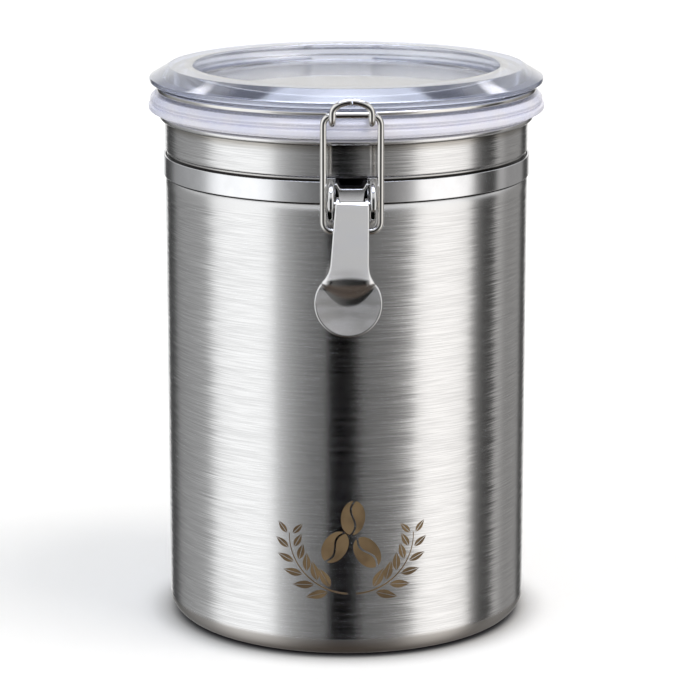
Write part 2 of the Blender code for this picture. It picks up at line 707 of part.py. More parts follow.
def hinge_outline():
    """Outline of the hinge bracket seen from the side: plate, arm and closed knuckle."""
    hole_radius = HOOP_WIRE_RADIUS + PIN_CLEARANCE
    knuckle_radius = hole_radius + KNUCKLE_SHEET
    plate_back = BAND_OUTER_RADIUS + SEAT_GAP
    plate_front = plate_back + HINGE_PLATE_SHEET
    top = HINGE_Z + knuckle_radius
    arm_under = top - KNUCKLE_SHEET
    meet = HALF_TURN - math.asin(hole_radius / knuckle_radius)
    outline = [(plate_back, BAND_BOTTOM - HINGE_PLATE_DROP), (plate_back, top)]
    outline += arc((HINGE_Y, HINGE_Z), knuckle_radius, QUARTER_TURN, meet - FULL_TURN, CIRCLE_STEPS)
    outline += [(plate_front, arm_under), (plate_front, BAND_BOTTOM - HINGE_PLATE_DROP)]
    return outline


def build_hinge_bracket(material, collection):
    """Build the hinge bracket, as wide as the wire's legs let it be."""
    half_width = HINGE_HALF_WIDTH - HOOP_BEND_RADIUS - KNUCKLE_SIDE_GAP
    outlines = [hinge_outline(), hole((HINGE_Y, HINGE_Z), HOOP_WIRE_RADIUS + PIN_CLEARANCE)]
    bracket = plate("hinge_bracket", outlines, half_width * 2, material, collection)
    stand_in_side_plane(bracket, 0)
    return bracket


def build():
    """Build the canister."""
    clear_scene()
    parts = new_collection(COLLECTION_NAME)
    cutters = new_collection(CUTTER_COLLECTION_NAME, hidden=True)

    steel = new_material("brushed_steel", STEEL_COLOUR, BRUSHED_ROUGHNESS, metallic=1.0)
    polished = new_material("polished_steel", POLISHED_COLOUR, POLISHED_ROUGHNESS, metallic=1.0)
    clear = new_material("clear_plastic", CLEAR_COLOUR, CLEAR_ROUGHNESS,
                         transmission=CLEAR_TRANSMISSION)
    soft = new_material("gasket_silicone", GASKET_COLOUR, SOFT_ROUGHNESS)

    turned("can_body", can_profile(), steel, parts)
    turned("band_strap", band_profile(), polished, parts, closed=True)
    build_bracket(polished, parts, cutters)
    build_pin(polished, parts)
    build_hinge_bracket(polished, parts)

    lid_shell = turned("lid_shell", lid_profile(), clear, parts)
    gasket = turned("gasket", gasket_profile(), soft, parts, closed=True)
    hoop = build_hoop(polished, parts)
    hang_on([lid_shell, gasket, hoop], axis_empty("lid_axis", (0, HINGE_Y, HINGE_Z), parts))

    build_lever(polished, parts, cutters)
    bail = build_bail(polished, parts)
    hang_on([bail], axis_empty("bail_axis", (0, CRANK_Y, CRANK_Z), parts))


build()
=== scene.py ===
"""Looks of the coffee canister: its pieces in fine meshes, their finishes, and a plain studio."""

import json
import logging
import math
from dataclasses import dataclass
from enum import Enum
from typing import Callable, Sequence

import bmesh
import bpy
from mathutils import Matrix, Vector


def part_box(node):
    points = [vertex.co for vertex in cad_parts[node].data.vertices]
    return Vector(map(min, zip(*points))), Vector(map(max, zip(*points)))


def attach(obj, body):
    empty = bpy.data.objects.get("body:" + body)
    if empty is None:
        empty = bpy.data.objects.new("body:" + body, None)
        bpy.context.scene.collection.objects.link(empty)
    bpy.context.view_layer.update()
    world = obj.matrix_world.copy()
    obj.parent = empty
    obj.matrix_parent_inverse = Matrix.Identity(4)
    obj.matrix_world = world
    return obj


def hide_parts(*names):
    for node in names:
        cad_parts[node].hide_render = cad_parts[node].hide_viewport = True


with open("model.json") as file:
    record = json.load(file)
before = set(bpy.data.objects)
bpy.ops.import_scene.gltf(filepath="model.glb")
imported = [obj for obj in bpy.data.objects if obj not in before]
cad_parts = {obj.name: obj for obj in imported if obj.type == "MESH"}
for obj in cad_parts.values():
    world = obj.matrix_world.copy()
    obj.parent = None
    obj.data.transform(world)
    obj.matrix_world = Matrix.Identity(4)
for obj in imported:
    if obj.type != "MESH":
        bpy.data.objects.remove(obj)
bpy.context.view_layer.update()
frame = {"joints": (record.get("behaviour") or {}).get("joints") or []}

Point2 = tuple[float, float]
Point3 = tuple[float, float, float]
Corner = tuple[float, float, float]
Colour = tuple[float, float, float]

MM = 0.001
QUARTER_TURN = math.pi / 2
HALF_TURN = math.pi
FULL_TURN = 2 * math.pi

# Fineness of the meshes
TURNED_SEGMENTS = 240
SMALL_TURNED_SEGMENTS = 64
WIRE_SIDES = 24
ARC_STEP = math.radians(9)
SHARP_ANGLE = math.radians(48)
HOLD_LENGTH = 0.2 * MM
MERGE_DISTANCE = 0.001 * MM
TINY = 1e-12
BEVEL_STEPS = 2

# Levels between which most of a noise lies, and the factors that keep only X and Y of a place
NOISE_LOW, NOISE_HIGH = 0.3, 0.7
LEVEL_PLANE = (1, 1, 0)

log = logging.getLogger("coffee_canister")


class Body(Enum):
    """The four bodies that move against each other."""

    CAN = "can"
    LID = "lid"
    LEVER = "lever"
    BAIL = "bail"


class Slot(Enum):
    """The record's material slots."""

    WALL = "brushed_can"
    FITTINGS = "polished_fittings"
    LEVER = "satin_lever"
    COVER = "clear_lid"
    SEAL = "gasket"


class Side(Enum):
    """A side of the canister as the latch side shows it, by the sign of its X."""

    RIGHT = 1
    LEFT = -1


class Axis(Enum):
    """An axis of a mesh, by its index."""

    X = 0
    Y = 1
    Z = 2


@dataclass(frozen=True)
class Box:
    """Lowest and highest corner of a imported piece."""

    low: Vector
    high: Vector

    @classmethod
    def of(cls, node: str) -> "Box":
        """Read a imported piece's box from the frame."""
        low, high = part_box(node)
        return cls(low, high)

    @property
    def radius(self) -> float:
        """Radius of a piece that is turned about Z."""
        return self.high.x


def joint_place(name: str) -> Vector:
    """Give the place of a joint's axis.

    Args:
        name: Name of the joint in the frame.

    Returns:
        The place.
    """
    for joint in frame["joints"]:
        if joint["name"] == name:
            return Vector(joint["pos_m"])
    raise ValueError(f"the frame has no joint named {name}")


def arc(centre: Point2, radius: float, start: float, end: float, step: float = ARC_STEP) -> list[Point2]:
    """Give the points of an arc.

    Args:
        centre: Middle of the arc.
        radius: Its radius.
        start: Angle of the first point.
        end: Angle of the last point.
        step: Largest angle between two points.

    Returns:
        The points, both ends included.
    """
    count = max(2, math.ceil(abs(end - start) / step))
    angles = [start + (end - start) * index / count for index in range(count + 1)]
    return [(centre[0] + radius * math.cos(a), centre[1] + radius * math.sin(a)) for a in angles]


def filleted(corners: Sequence[Corner], closed: bool = False) -> list[Point2]:
    """Round the corners of an outline, and hold its straight runs flat next to each arc.

    Args:
        corners: Points as (first, second, radius of the corner).
        closed: Whether the last point joins the first.

    Returns:
        The points of the rounded outline.
    """
    count = len(corners)
    places = [Vector(corner[:2]) for corner in corners]
    turns, reaches = [], []
    for index, corner in enumerate(corners):
        turn, reach = 0.0, 0.0
        if corner[2] > 0 and (closed or 0 < index < count - 1):
            way_in = places[index] - places[index - 1]
            way_out = places[(index + 1) % count] - places[index]
            turn = math.atan2(way_in.x * way_out.y - way_in.y * way_out.x, way_in.dot(way_out))
            reach = corner[2] * math.tan(abs(turn) / 2)
        turns.append(turn)
        reaches.append(reach)

    points: list[Point2] = []
    for index, place in enumerate(places):
        if reaches[index] > 0:
            before = (place - places[index - 1]).normalized()
            after = (places[(index + 1) % count] - place).normalized()
            radius = corners[index][2]
            middle = place + (after - before).normalized() * radius / math.cos(turns[index] / 2)
            spoke = place - before * reaches[index] - middle
            start = math.atan2(spoke.y, spoke.x)
            points += arc(tuple(middle), radius, start, start + turns[index])
        else:
            points.append(tuple(place))
        if index == count - 1 and not closed:
            break
        following = (index + 1) % count
        run = places[following] - place
        free = run.length - reaches[index] - reaches[following]
        if (reaches[index] or reaches[following]) and free > 4 * HOLD_LENGTH:
            way = run.normalized()
            points.append(tuple(place + way * (reaches[index] + HOLD_LENGTH)))
            points.append(tuple(places[following] - way * (reaches[following] + HOLD_LENGTH)))
    return points


def add_mesh(name: str, solid: bmesh.types.BMesh) -> bpy.types.Object:
    """Turn a bmesh into a smooth object of the scene.

    Args:
        name: Name of the piece.
        solid: The mesh, which is freed.

    Returns:
        The new object.
    """
    bmesh.ops.recalc_face_normals(solid, faces=solid.faces)
    mesh = bpy.data.meshes.new(name)
    solid.to_mesh(mesh)
    solid.free()
    mesh.shade_smooth()
    mesh.set_sharp_from_angle(angle=SHARP_ANGLE)
    item = bpy.data.objects.new(name, mesh)
    bpy.context.scene.collection.objects.link(item)
    return item


def turned(name: str, profile: Sequence[Point2], closed: bool = False,
           segments: int = TURNED_SEGMENTS) -> bpy.types.Object:
    """Turn a profile about Z.

    Args:
        name: Name of the piece.
        profile: Points as (radius, height). A radius of zero is a pole.
        closed: Whether the last point joins the first.
        segments: How many steps make the full turn.

    Returns:
        The turned object.
    """
    solid = bmesh.new()
    rings = []
    for radius, height in profile:
        if radius <= 0:
            rings.append([solid.verts.new((0, 0, height))])
            continue
        ring = []
        for index in range(segments):
            angle = FULL_TURN * index / segments
            ring.append(solid.verts.new((radius * math.cos(angle), radius * math.sin(angle), height)))
        rings.append(ring)
    pairs = list(zip(rings, rings[1:]))
    if closed:
        pairs.append((rings[-1], rings[0]))
    for one, other in pairs:
        for index in range(segments):
            following = (index + 1) % segments
            if len(one) == 1:
                solid.faces.new((one[0], other[index], other[following]))
            elif len(other) == 1:
                solid.faces.new((one[index], other[0], one[following]))
            else:
                solid.faces.new((one[index], other[index], other[following], one[following]))
    return add_mesh(name, solid)


def eased(path: Sequence[Vector], spacing: float, passes: int, closed: bool) -> list[Vector]:
    """Space the points of a path evenly and ease its corners.

    Args:
        path: Points of the route.
        spacing: Distance between two new points.
        passes: How often each point is drawn to the middle of its neighbours.
        closed: Whether the path is a loop.

    Returns:
        The points of the eased path.
    """
    route = list(path) + ([path[0]] if closed else [])
    lengths = [0.0]
    for one, other in zip(route, route[1:]):
        lengths.append(lengths[-1] + (other - one).length)
    count = max(3, round(lengths[-1] / spacing))
    points, leg = [], 0
    for index in range(count if closed else count + 1):
        reach = lengths[-1] * index / count
        while leg < len(route) - 2 and lengths[leg + 1] < reach:
            leg += 1
        share = (reach - lengths[leg]) / max(lengths[leg + 1] - lengths[leg], MERGE_DISTANCE)
        points.append(route[leg].lerp(route[leg + 1], min(share, 1.0)))
    for _ in range(passes):
        inner = range(len(points)) if closed else range(1, len(points) - 1)
        moved = {i: (points[i - 1] + points[i] * 2 + points[(i + 1) % len(points)]) / 4 for i in inner}
        for index, place in moved.items():
            points[index] = place
    return points


def swept(name: str, path: Sequence[Vector], radius: float, closed: bool,
          end_round: float = 0.0) -> bpy.types.Object:
    """Bend a round wire along a path.

    Args:
        name: Name of the piece.
        path: Points of the wire's middle.
        radius: Radius of the wire.
        closed: Whether the wire is a loop in one plane.
        end_round: Chamfer of the ends of an open wire.

    Returns:
        The wire as an object.
    """
    solid = bmesh.new()
    count = len(path)
    rings, side = [], None
    for index, place in enumerate(path):
        if closed:
            way = path[(index + 1) % count] - path[index - 1]
        else:
            way = path[min(index + 1, count - 1)] - path[max(index - 1, 0)]
        way = way.normalized()
        if side is None:
            side = way.orthogonal().normalized()
        side = (side - way * side.dot(way)).normalized()
        up = way.cross(side)
        ends = not closed and index in (0, count - 1)
        reach = radius - end_round if ends else radius
        ring = []
        for step in range(WIRE_SIDES):
            angle = FULL_TURN * step / WIRE_SIDES
            spoke = side * math.cos(angle) + up * math.sin(angle)
            ring.append(solid.verts.new(place + spoke * reach))
        rings.append(ring)
    pairs = list(zip(rings, rings[1:]))
    if closed:
        pairs.append((rings[-1], rings[0]))
    else:
        solid.faces.new(rings[0])
        solid.faces.new(rings[-1])
    for one, other in pairs:
        for step in range(WIRE_SIDES):
            following = (step + 1) % WIRE_SIDES
            solid.faces.new((one[step], other[step], other[following], one[following]))
    return add_mesh(name, solid)


def plate(name: str, outlines: Sequence[Sequence[Point2]], thickness: float, edge_round: float,
          cuts: Sequence[tuple[Axis, Sequence[float]]] = ()) -> bpy.types.Object:
    """Cut a plate with rounded edges from its outline and holes.

    Args:
        name: Name of the piece.
        outlines: The outline and its holes, in the mesh's XY plane.
        thickness: Thickness of the plate, centred on that plane.
        edge_round: Radius of its edges.
        cuts: Planes that slice its faces, so that it can be bent.

    Returns:
        The plate as an object.
    """
    curve = bpy.data.curves.new(name, "CURVE")
    curve.dimensions = "2D"
    curve.fill_mode = "BOTH"
    curve.extrude = thickness / 2 - edge_round
    curve.bevel_depth = edge_round
    curve.bevel_resolution = BEVEL_STEPS
    curve.offset = -edge_round
    for outline in outlines:
        spline = curve.splines.new("POLY")
        spline.points.add(len(outline) - 1)
        for point, place in zip(spline.points, outline):
            point.co = (place[0], place[1], 0, 1)
        spline.use_cyclic_u = True
    flat = bpy.data.objects.new(name, curve)
    bpy.context.scene.collection.objects.link(flat)
    bpy.context.view_layer.update()
    evaluated = flat.evaluated_get(bpy.context.evaluated_depsgraph_get())
    mesh = bpy.data.meshes.new_from_object(evaluated)
    bpy.data.objects.remove(flat, do_unlink=True)
    bpy.data.curves.remove(curve)
    solid = bmesh.new()
    solid.from_mesh(mesh)
    bpy.data.meshes.remove(mesh)
    bmesh.ops.remove_doubles(solid, verts=solid.verts, dist=MERGE_DISTANCE)
    for axis, places in cuts:
        normal = Vector((0, 0, 0))
        normal[axis.value] = 1
        for place in places:
            geometry = solid.verts[:] + solid.edges[:] + solid.faces[:]
            bmesh.ops.bisect_plane(solid, geom=geometry, dist=MERGE_DISTANCE,
                                   plane_co=normal * place, plane_no=normal)
    return add_mesh(name, solid)


def spread(low: float, high: float, spacing: float) -> list[float]:
    """Give evenly spaced places between two ends, about one spacing apart."""
    count = max(1, round((high - low) / spacing))
    return [low + (high - low) * index / count for index in range(1, count)]


def wrapped(across: float, height: float, out: float, radius: float) -> Vector:
    """Give the place of a flat point once it is wrapped round the can, from its middle on the latch side."""
    turn, reach = across / radius, radius + out
    return Vector((reach * math.sin(turn), -reach * math.cos(turn), height))


def reshape(item: bpy.types.Object, place: Callable[[Vector], Vector]) -> None:
    """Move each point of a mesh to the place that a function gives.

    Args:
        item: The piece.
        place: Function from the old place to the new one.
    """
    for vertex in item.data.vertices:
        vertex.co = place(vertex.co.copy())
    solid = bmesh.new()
    solid.from_mesh(item.data)
    bmesh.ops.recalc_face_normals(solid, faces=solid.faces)
    solid.to_mesh(item.data)
    solid.free()
    item.data.set_sharp_from_angle(angle=SHARP_ANGLE)


def is_closed(mesh: bpy.types.Mesh) -> bool:
    """Say whether each edge of a mesh has two faces.

    Args:
        mesh: The mesh, which stays as it is.

    Returns:
        True for a mesh without open edges.
    """
    solid = bmesh.new()
    solid.from_mesh(mesh)
    closed = all(edge.is_manifold for edge in solid.edges)
    solid.free()
    return closed


def unite(item: bpy.types.Object, others: Sequence[bpy.types.Object]) -> None:
    """Join other solids to one, which keeps its name.

    Args:
        item: The solid that the others are joined to.
        others: The solids to join, which are removed.
    """
    for other in others:
        union = item.modifiers.new("union", "BOOLEAN")
        union.operation = "UNION"
        union.solver = "EXACT"
        union.object = other
        bpy.context.view_layer.update()
        evaluated = item.evaluated_get(bpy.context.evaluated_depsgraph_get())
        joined = bpy.data.meshes.new_from_object(evaluated)
        item.modifiers.remove(union)
        if not is_closed(joined):
            log.warning("%s: a union isn't closed, so the shells overlap", item.name)
            shells = bmesh.new()
            shells.from_mesh(item.data)
            shells.from_mesh(other.data)
            bpy.data.meshes.remove(joined)
            joined = item.data.copy()
            shells.to_mesh(joined)
            shells.free()
        joined.shade_smooth()
        joined.set_sharp_from_angle(angle=SHARP_ANGLE)
        item.data = joined
        bpy.data.objects.remove(other, do_unlink=True)


def level_normals(item: bpy.types.Object) -> None:
    """Let the large faces of a plate keep their flat shading beside its rounded edges.

    Args:
        item: The plate.
    """
    normals = item.modifiers.new("normals", "WEIGHTED_NORMAL")
    normals.mode = "FACE_AREA_WITH_ANGLE"
    normals.keep_sharp = True


def settle(item: bpy.types.Object, material: bpy.types.Material, body: Body, slot: Slot,
           *nodes: str) -> bpy.types.Object:
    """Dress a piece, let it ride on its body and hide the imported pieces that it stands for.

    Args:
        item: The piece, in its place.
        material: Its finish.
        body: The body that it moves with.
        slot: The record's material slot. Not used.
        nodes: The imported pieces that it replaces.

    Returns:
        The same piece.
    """
    item.data.materials.clear()
    item.data.materials.append(material)
    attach(item, body.value)
    if nodes:
        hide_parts(*nodes)
    log.info("%s: %d faces, rides on %s", item.name, len(item.data.polygons), body.value)
    return item


class Graph:
    """Nodes of one material or world."""

    def __init__(self, tree: bpy.types.NodeTree) -> None:
        """Start with an empty tree."""
        self.tree = tree
        tree.nodes.clear()

    def node(self, kind: str, inputs: dict | None = None, **settings: object) -> bpy.types.Node:
        """Add a node.

        Args:
            kind: Type of the node, without the ShaderNode that all types start with.
            inputs: Values or sockets for its inputs, by name or index.
            settings: Attributes of the node.

        Returns:
            The new node.
        """
        made = self.tree.nodes.new("ShaderNode" + kind)
        for key, value in settings.items():
            setattr(made, key, value)
        for key, value in (inputs or {}).items():
            if isinstance(value, bpy.types.NodeSocket):
                self.tree.links.new(value, made.inputs[key])
            else:
                made.inputs[key].default_value = value
        return made

    def math(self, operation: str, *values: object) -> bpy.types.NodeSocket:
        """Add a Math node and give its result."""
        return self.node("Math", dict(enumerate(values)), operation=operation).outputs[0]

    def vector(self, operation: str, *values: object, result: str = "Vector") -> bpy.types.NodeSocket:
        """Add a Vector Math node and give its result."""
        return self.node("VectorMath", dict(enumerate(values)), operation=operation).outputs[result]

    def grain(self, place: object, across: float, up: float, detail: float = 2.0,
              rough: float = 0.5) -> bpy.types.NodeSocket:
        """Add a noise whose grains have one size across and another in height.

        Args:
            place: Socket of the object coordinates.
            across: Size of a grain across.
            up: Size of a grain in height.
            detail: Detail of the noise.
            rough: Share that each finer detail has.

        Returns:
            The noise, mostly between NOISE_LOW and NOISE_HIGH.
        """
        scaled = self.vector("MULTIPLY", place, (1 / across, 1 / across, 1 / up))
        inputs = {"Vector": scaled, "Scale": 1.0, "Detail": detail, "Roughness": rough}
        return self.node("TexNoise", inputs).outputs["Fac"]

    def between(self, value: object, low: float, high: float, start: float = 0.0,
                end: float = 1.0) -> bpy.types.NodeSocket:
        """Map a range of a value to another range, with eased ends."""
        inputs = {"Value": value, "From Min": low, "From Max": high, "To Min": start, "To Max": end}
        return self.node("MapRange", inputs, interpolation_type="SMOOTHSTEP").outputs[0]

    def worn(self, noise: object, roughness: float, wear: Point2) -> bpy.types.NodeSocket:
        """Vary a roughness by a noise, as far down and up as the wear says."""
        return self.between(noise, NOISE_LOW, NOISE_HIGH, roughness - wear[0], roughness + wear[1])

    def mix(self, share: object, one: object, other: object) -> bpy.types.NodeSocket:
        """Mix two colours.

        Args:
            share: Share of the second colour.
            one: The first colour.
            other: The second colour.

        Returns:
            The mixed colour.
        """
        made = self.node("Mix", {"Factor": share}, data_type="RGBA")
        for index, value in ((6, one), (7, other)):
            if isinstance(value, bpy.types.NodeSocket):
                self.tree.links.new(value, made.inputs[index])
            else:
                made.inputs[index].default_value = (*value, 1)
        return made.outputs[2]

    def grey(self, level: object) -> bpy.types.NodeSocket:
        """Give all three channels of a colour the same level."""
        return self.node("CombineXYZ", {0: level, 1: level, 2: level}).outputs[0]

    def product(self, *factors: object) -> bpy.types.NodeSocket:
        """Multiply values.

        Args:
            factors: Numbers or sockets, from the first to the last.

        Returns:
            Their product.
        """
        result = factors[0]
        for factor in factors[1:]:
            result = self.math("MULTIPLY", result, factor)
        return result

    def split(self, place: object) -> bpy.types.bpy_prop_collection:
        """Give the X, Y and Z of a place by their names."""
        return self.node("SeparateXYZ", {0: place}).outputs

    def reach(self, place: object) -> bpy.types.NodeSocket:
        """Give the distance of a place from the can's axis."""
        return self.vector("LENGTH", self.vector("MULTIPLY", place, LEVEL_PLANE), result="Value")

    def leaned(self, normal: object, lean: object) -> bpy.types.NodeSocket:
        """Lean a normal by a vector."""
        return self.vector("NORMALIZE", self.vector("ADD", normal, lean))

    def to_world(self, lean: object) -> bpy.types.NodeSocket:
        """Turn a vector from the piece's own axes to the world's, so that it moves with the piece."""
        return self.node("VectorTransform", {0: lean}, vector_type="VECTOR", convert_from="OBJECT",
                         convert_to="WORLD").outputs[0]

    def curve(self, value: object, points: Sequence[Point2]) -> bpy.types.NodeSocket:
        """Map a value through a smooth curve.

        Args:
            value: The value, from 0 to 1.
            points: Points of the curve as (value, result).

        Returns:
            The result.
        """
        made = self.node("FloatCurve", {"Value": value})
        line = made.mapping.curves[0]
        while len(line.points) < len(points):
            line.points.new(0.5, 0.5)
        for point, place in zip(line.points, sorted(points)):
            point.location = place
        made.mapping.update()
        return made.outputs[0]

    def bump(self, height: object, distance: float) -> bpy.types.NodeSocket:
        """Turn a height into a normal."""
        return self.node("Bump", {"Height": height, "Distance": distance, "Strength": 1.0}).outputs[0]


def new_finish(name: str) -> tuple[bpy.types.Material, Graph, bpy.types.NodeSocket]:
    """Make an empty node-based material.

    Args:
        name: Name of the finish.

    Returns:
        The material, its graph and the socket of the object coordinates.
    """
    material = bpy.data.materials.new(name)
    material.use_nodes = True
    graph = Graph(material.node_tree)
    return material, graph, graph.node("TexCoord").outputs["Object"]


def close_finish(graph: Graph, inputs: dict) -> None:
    """Give a graph its Principled shader and its output."""
    shader = graph.node("BsdfPrincipled", inputs)
    graph.node("OutputMaterial", {"Surface": shader.outputs[0]})


@dataclass(frozen=True)
class BrushedSteel:
    """Steel brushed round the wall and the neck, smooth at the shoulder, the rim, the foot and inside; shade
    is painted at the foot, beside the strap and under the rim.
    """

    colour: Colour = (0.68, 0.675, 0.67)
    foot_colour: Colour = (0.47, 0.445, 0.42)
    foot_roughness: float = 0.38
    foot_shade_colour: Colour = (0.12, 0.105, 0.095)
    foot_shade_top: float = 3.6 * MM
    # Near-black painted shade for the gaps beside the strap, under the rim and behind the bracket's slots
    gap_shade_colour: Colour = (0.018, 0.017, 0.016)
    shade_colour: Colour = (0.36, 0.34, 0.31)
    roughness: float = 0.19
    wear: Point2 = (0.02, 0.03)
    smooth_roughness: float = 0.22
    anisotropy: float = 0.90
    upright_blur: float = 0.25
    dash_length: float = 11 * MM
    dash_height: float = 0.27 * MM
    hair_length: float = 30 * MM
    hair_height: float = 0.16 * MM
    drift_length: float = 60 * MM
    drift_height: float = 1.2 * MM
    dash_share: float = 0.45
    hair_share: float = 0.40
    drift_share: float = 0.15
    streak: float = 0.16
    calm_streak: float = 0.28
    calm_half: float = 6 * MM
    calm_end: float = 16 * MM
    tone_low: float = 0.86
    tone_high: float = 1.08
    grain_low: float = 0.7
    grain_high: float = 1.3
    foot_height: float = 7.6 * MM
    foot_fade: float = 2.0 * MM
    shoulder_low: float = 145.6 * MM
    shoulder_high: float = 157.4 * MM
    shoulder_tilt: float = 0.30
    line_low: float = 149.35 * MM
    line_high: float = 149.55 * MM
    gap_low: float = 156.0 * MM
    gap_high: float = 157.15 * MM
    neck_foot: float = 159.0 * MM
    neck_shade: float = 0.55
    crease_low: float = 168.0 * MM
    rim_low: float = 168.25 * MM
    rim_shade: float = 3.4 * MM
    edge_fade: float = 0.2 * MM
    inside_radius: float = 59.2 * MM
    # Where shadow is painted on the wall behind each slot of the bracket
    slot_shadow_middle: float = 7.1 * MM
    slot_shadow_half: float = 1.0 * MM
    slot_shadow_low: float = 144.6 * MM
    slot_shadow_high: float = 149.2 * MM

    def within(self, graph: Graph, height: object, low: float, high: float) -> bpy.types.NodeSocket:
        """Mask a belt of the can between two heights.

        Args:
            graph: The material's graph.
            height: Socket of the height.
            low: Foot of the belt.
            high: Top of the belt.

        Returns:
            The mask.
        """
        fade = self.edge_fade
        above = graph.between(height, low - fade, low)
        under = graph.between(height, high, high + fade, 1.0, 0.0)
        return graph.math("MULTIPLY", above, under)

    def make(self) -> bpy.types.Material:
        """Build the finish.

        Returns:
            The material.
        """
        material, graph, place = new_finish("brushed_steel")
        dash = graph.grain(place, self.dash_length, self.dash_height, detail=1.0)
        hair = graph.grain(place, self.hair_length, self.hair_height, detail=1.0)
        drift = graph.grain(place, self.drift_length, self.drift_height, detail=1.0)

        axes, reach = graph.split(place), graph.reach(place)
        height, aside = axes["Z"], graph.math("ABSOLUTE", axes["X"])
        above_foot = graph.between(height, self.foot_height - self.foot_fade, self.foot_height)
        outside = graph.math("GREATER_THAN", reach, self.inside_radius)
        shoulder = self.within(graph, height, self.shoulder_low, self.shoulder_high)
        below_rim = graph.between(height, self.rim_low - self.edge_fade, self.rim_low, 1.0, 0.0)
        brushed = graph.product(above_foot, outside, graph.math("SUBTRACT", 1.0, shoulder), below_rim)

        # The brushing leans the normal round the can, less so near the middle of the front
        lean = graph.math("ADD", graph.product(dash, self.dash_share), graph.product(hair, self.hair_share))
        lean = graph.math("ADD", lean, graph.product(drift, self.drift_share))
        calm = graph.between(aside, self.calm_half, self.calm_end, self.calm_streak, 1.0)
        lean = graph.product(graph.math("SUBTRACT", lean, 0.5), self.streak, brushed, calm)
        around = graph.node("Tangent", direction_type="RADIAL", axis="Z").outputs[0]
        facing = graph.node("NewGeometry").outputs["Normal"]
        side = graph.node("VectorMath", {0: around, "Scale": lean}, operation="SCALE").outputs[0]
        tilt = graph.between(height, self.shoulder_low, self.line_low, 0.0, self.shoulder_tilt)
        tilt = graph.product(tilt, shoulder, outside)
        side = graph.vector("ADD", side, graph.node("CombineXYZ", {2: tilt}).outputs[0])
        normal = graph.leaned(facing, side)

        tone = graph.between(graph.math("ADD", hair, dash), self.grain_low, self.grain_high,
                             self.tone_low, self.tone_high)
        tone = graph.math("ADD", graph.product(graph.math("SUBTRACT", tone, 1.0), brushed), 1.0)
        # Painted shade: the foot darkens towards the floor
        foot = graph.mix(graph.between(height, 0.0, self.foot_shade_top), self.foot_shade_colour, self.foot_colour)
        steel = graph.mix(above_foot, foot, self.colour)
        # Painted shade under the rim bead and at the foot of the neck above the strap
        under_rim = graph.between(height, self.rim_low - self.rim_shade, self.rim_low - self.edge_fade)
        steel = graph.mix(graph.product(under_rim, below_rim, outside), steel, self.shade_colour)
        neck_foot_shade = graph.between(height, self.gap_high, self.neck_foot, self.neck_shade, 0.0)
        above_strap = graph.math("GREATER_THAN", height, self.gap_low)
        steel = graph.mix(graph.product(neck_foot_shade, above_strap), steel, self.shade_colour)

        # Painted shade: dark lines beside the strap, under the rim and on the wall behind the slots of the
        # bracket
        shade_lines = self.within(graph, height, self.gap_low, self.gap_high)
        for low, high in ((self.line_low, self.line_high), (self.crease_low, self.rim_low)):
            shade_lines = graph.math("ADD", shade_lines, self.within(graph, height, low, high))
        beside = graph.math("ABSOLUTE", graph.math("SUBTRACT", aside, self.slot_shadow_middle))
        slot = graph.product(graph.math("LESS_THAN", beside, self.slot_shadow_half),
                             graph.math("LESS_THAN", axes["Y"], 0.0),
                             self.within(graph, height, self.slot_shadow_low, self.slot_shadow_high))
        shade_lines = graph.math("MINIMUM", graph.math("ADD", shade_lines, slot), 1.0)
        steel = graph.mix(graph.product(shade_lines, outside), steel, self.gap_shade_colour)
        shade = graph.vector("MULTIPLY", steel, graph.grey(tone))

        rough = graph.product(graph.worn(drift, self.roughness, self.wear), brushed)
        smooth = graph.between(above_foot, 0.0, 1.0, self.foot_roughness, self.smooth_roughness)
        smooth = graph.product(graph.math("SUBTRACT", 1.0, brushed), smooth)
        close_finish(graph, {
            "Base Color": shade,
            "Metallic": 1.0,
            "Roughness": graph.math("ADD", rough, smooth),
            "Anisotropic": self.anisotropy,
            "Anisotropic Rotation": self.upright_blur,
            "Tangent": around,
            "Normal": normal,
        })
        return material


@dataclass(frozen=True)
class WindowShadowPlace:
    """Where painted shadow stands in for the dark window of the latch bracket, and the radius of the plate's
    face before it.
    """

    face: float
    clearance: float = 0.1 * MM
    half: float = 4.9 * MM
    low: float = 147.9 * MM
    high: float = 158.6 * MM
    fade: float = 0.2 * MM


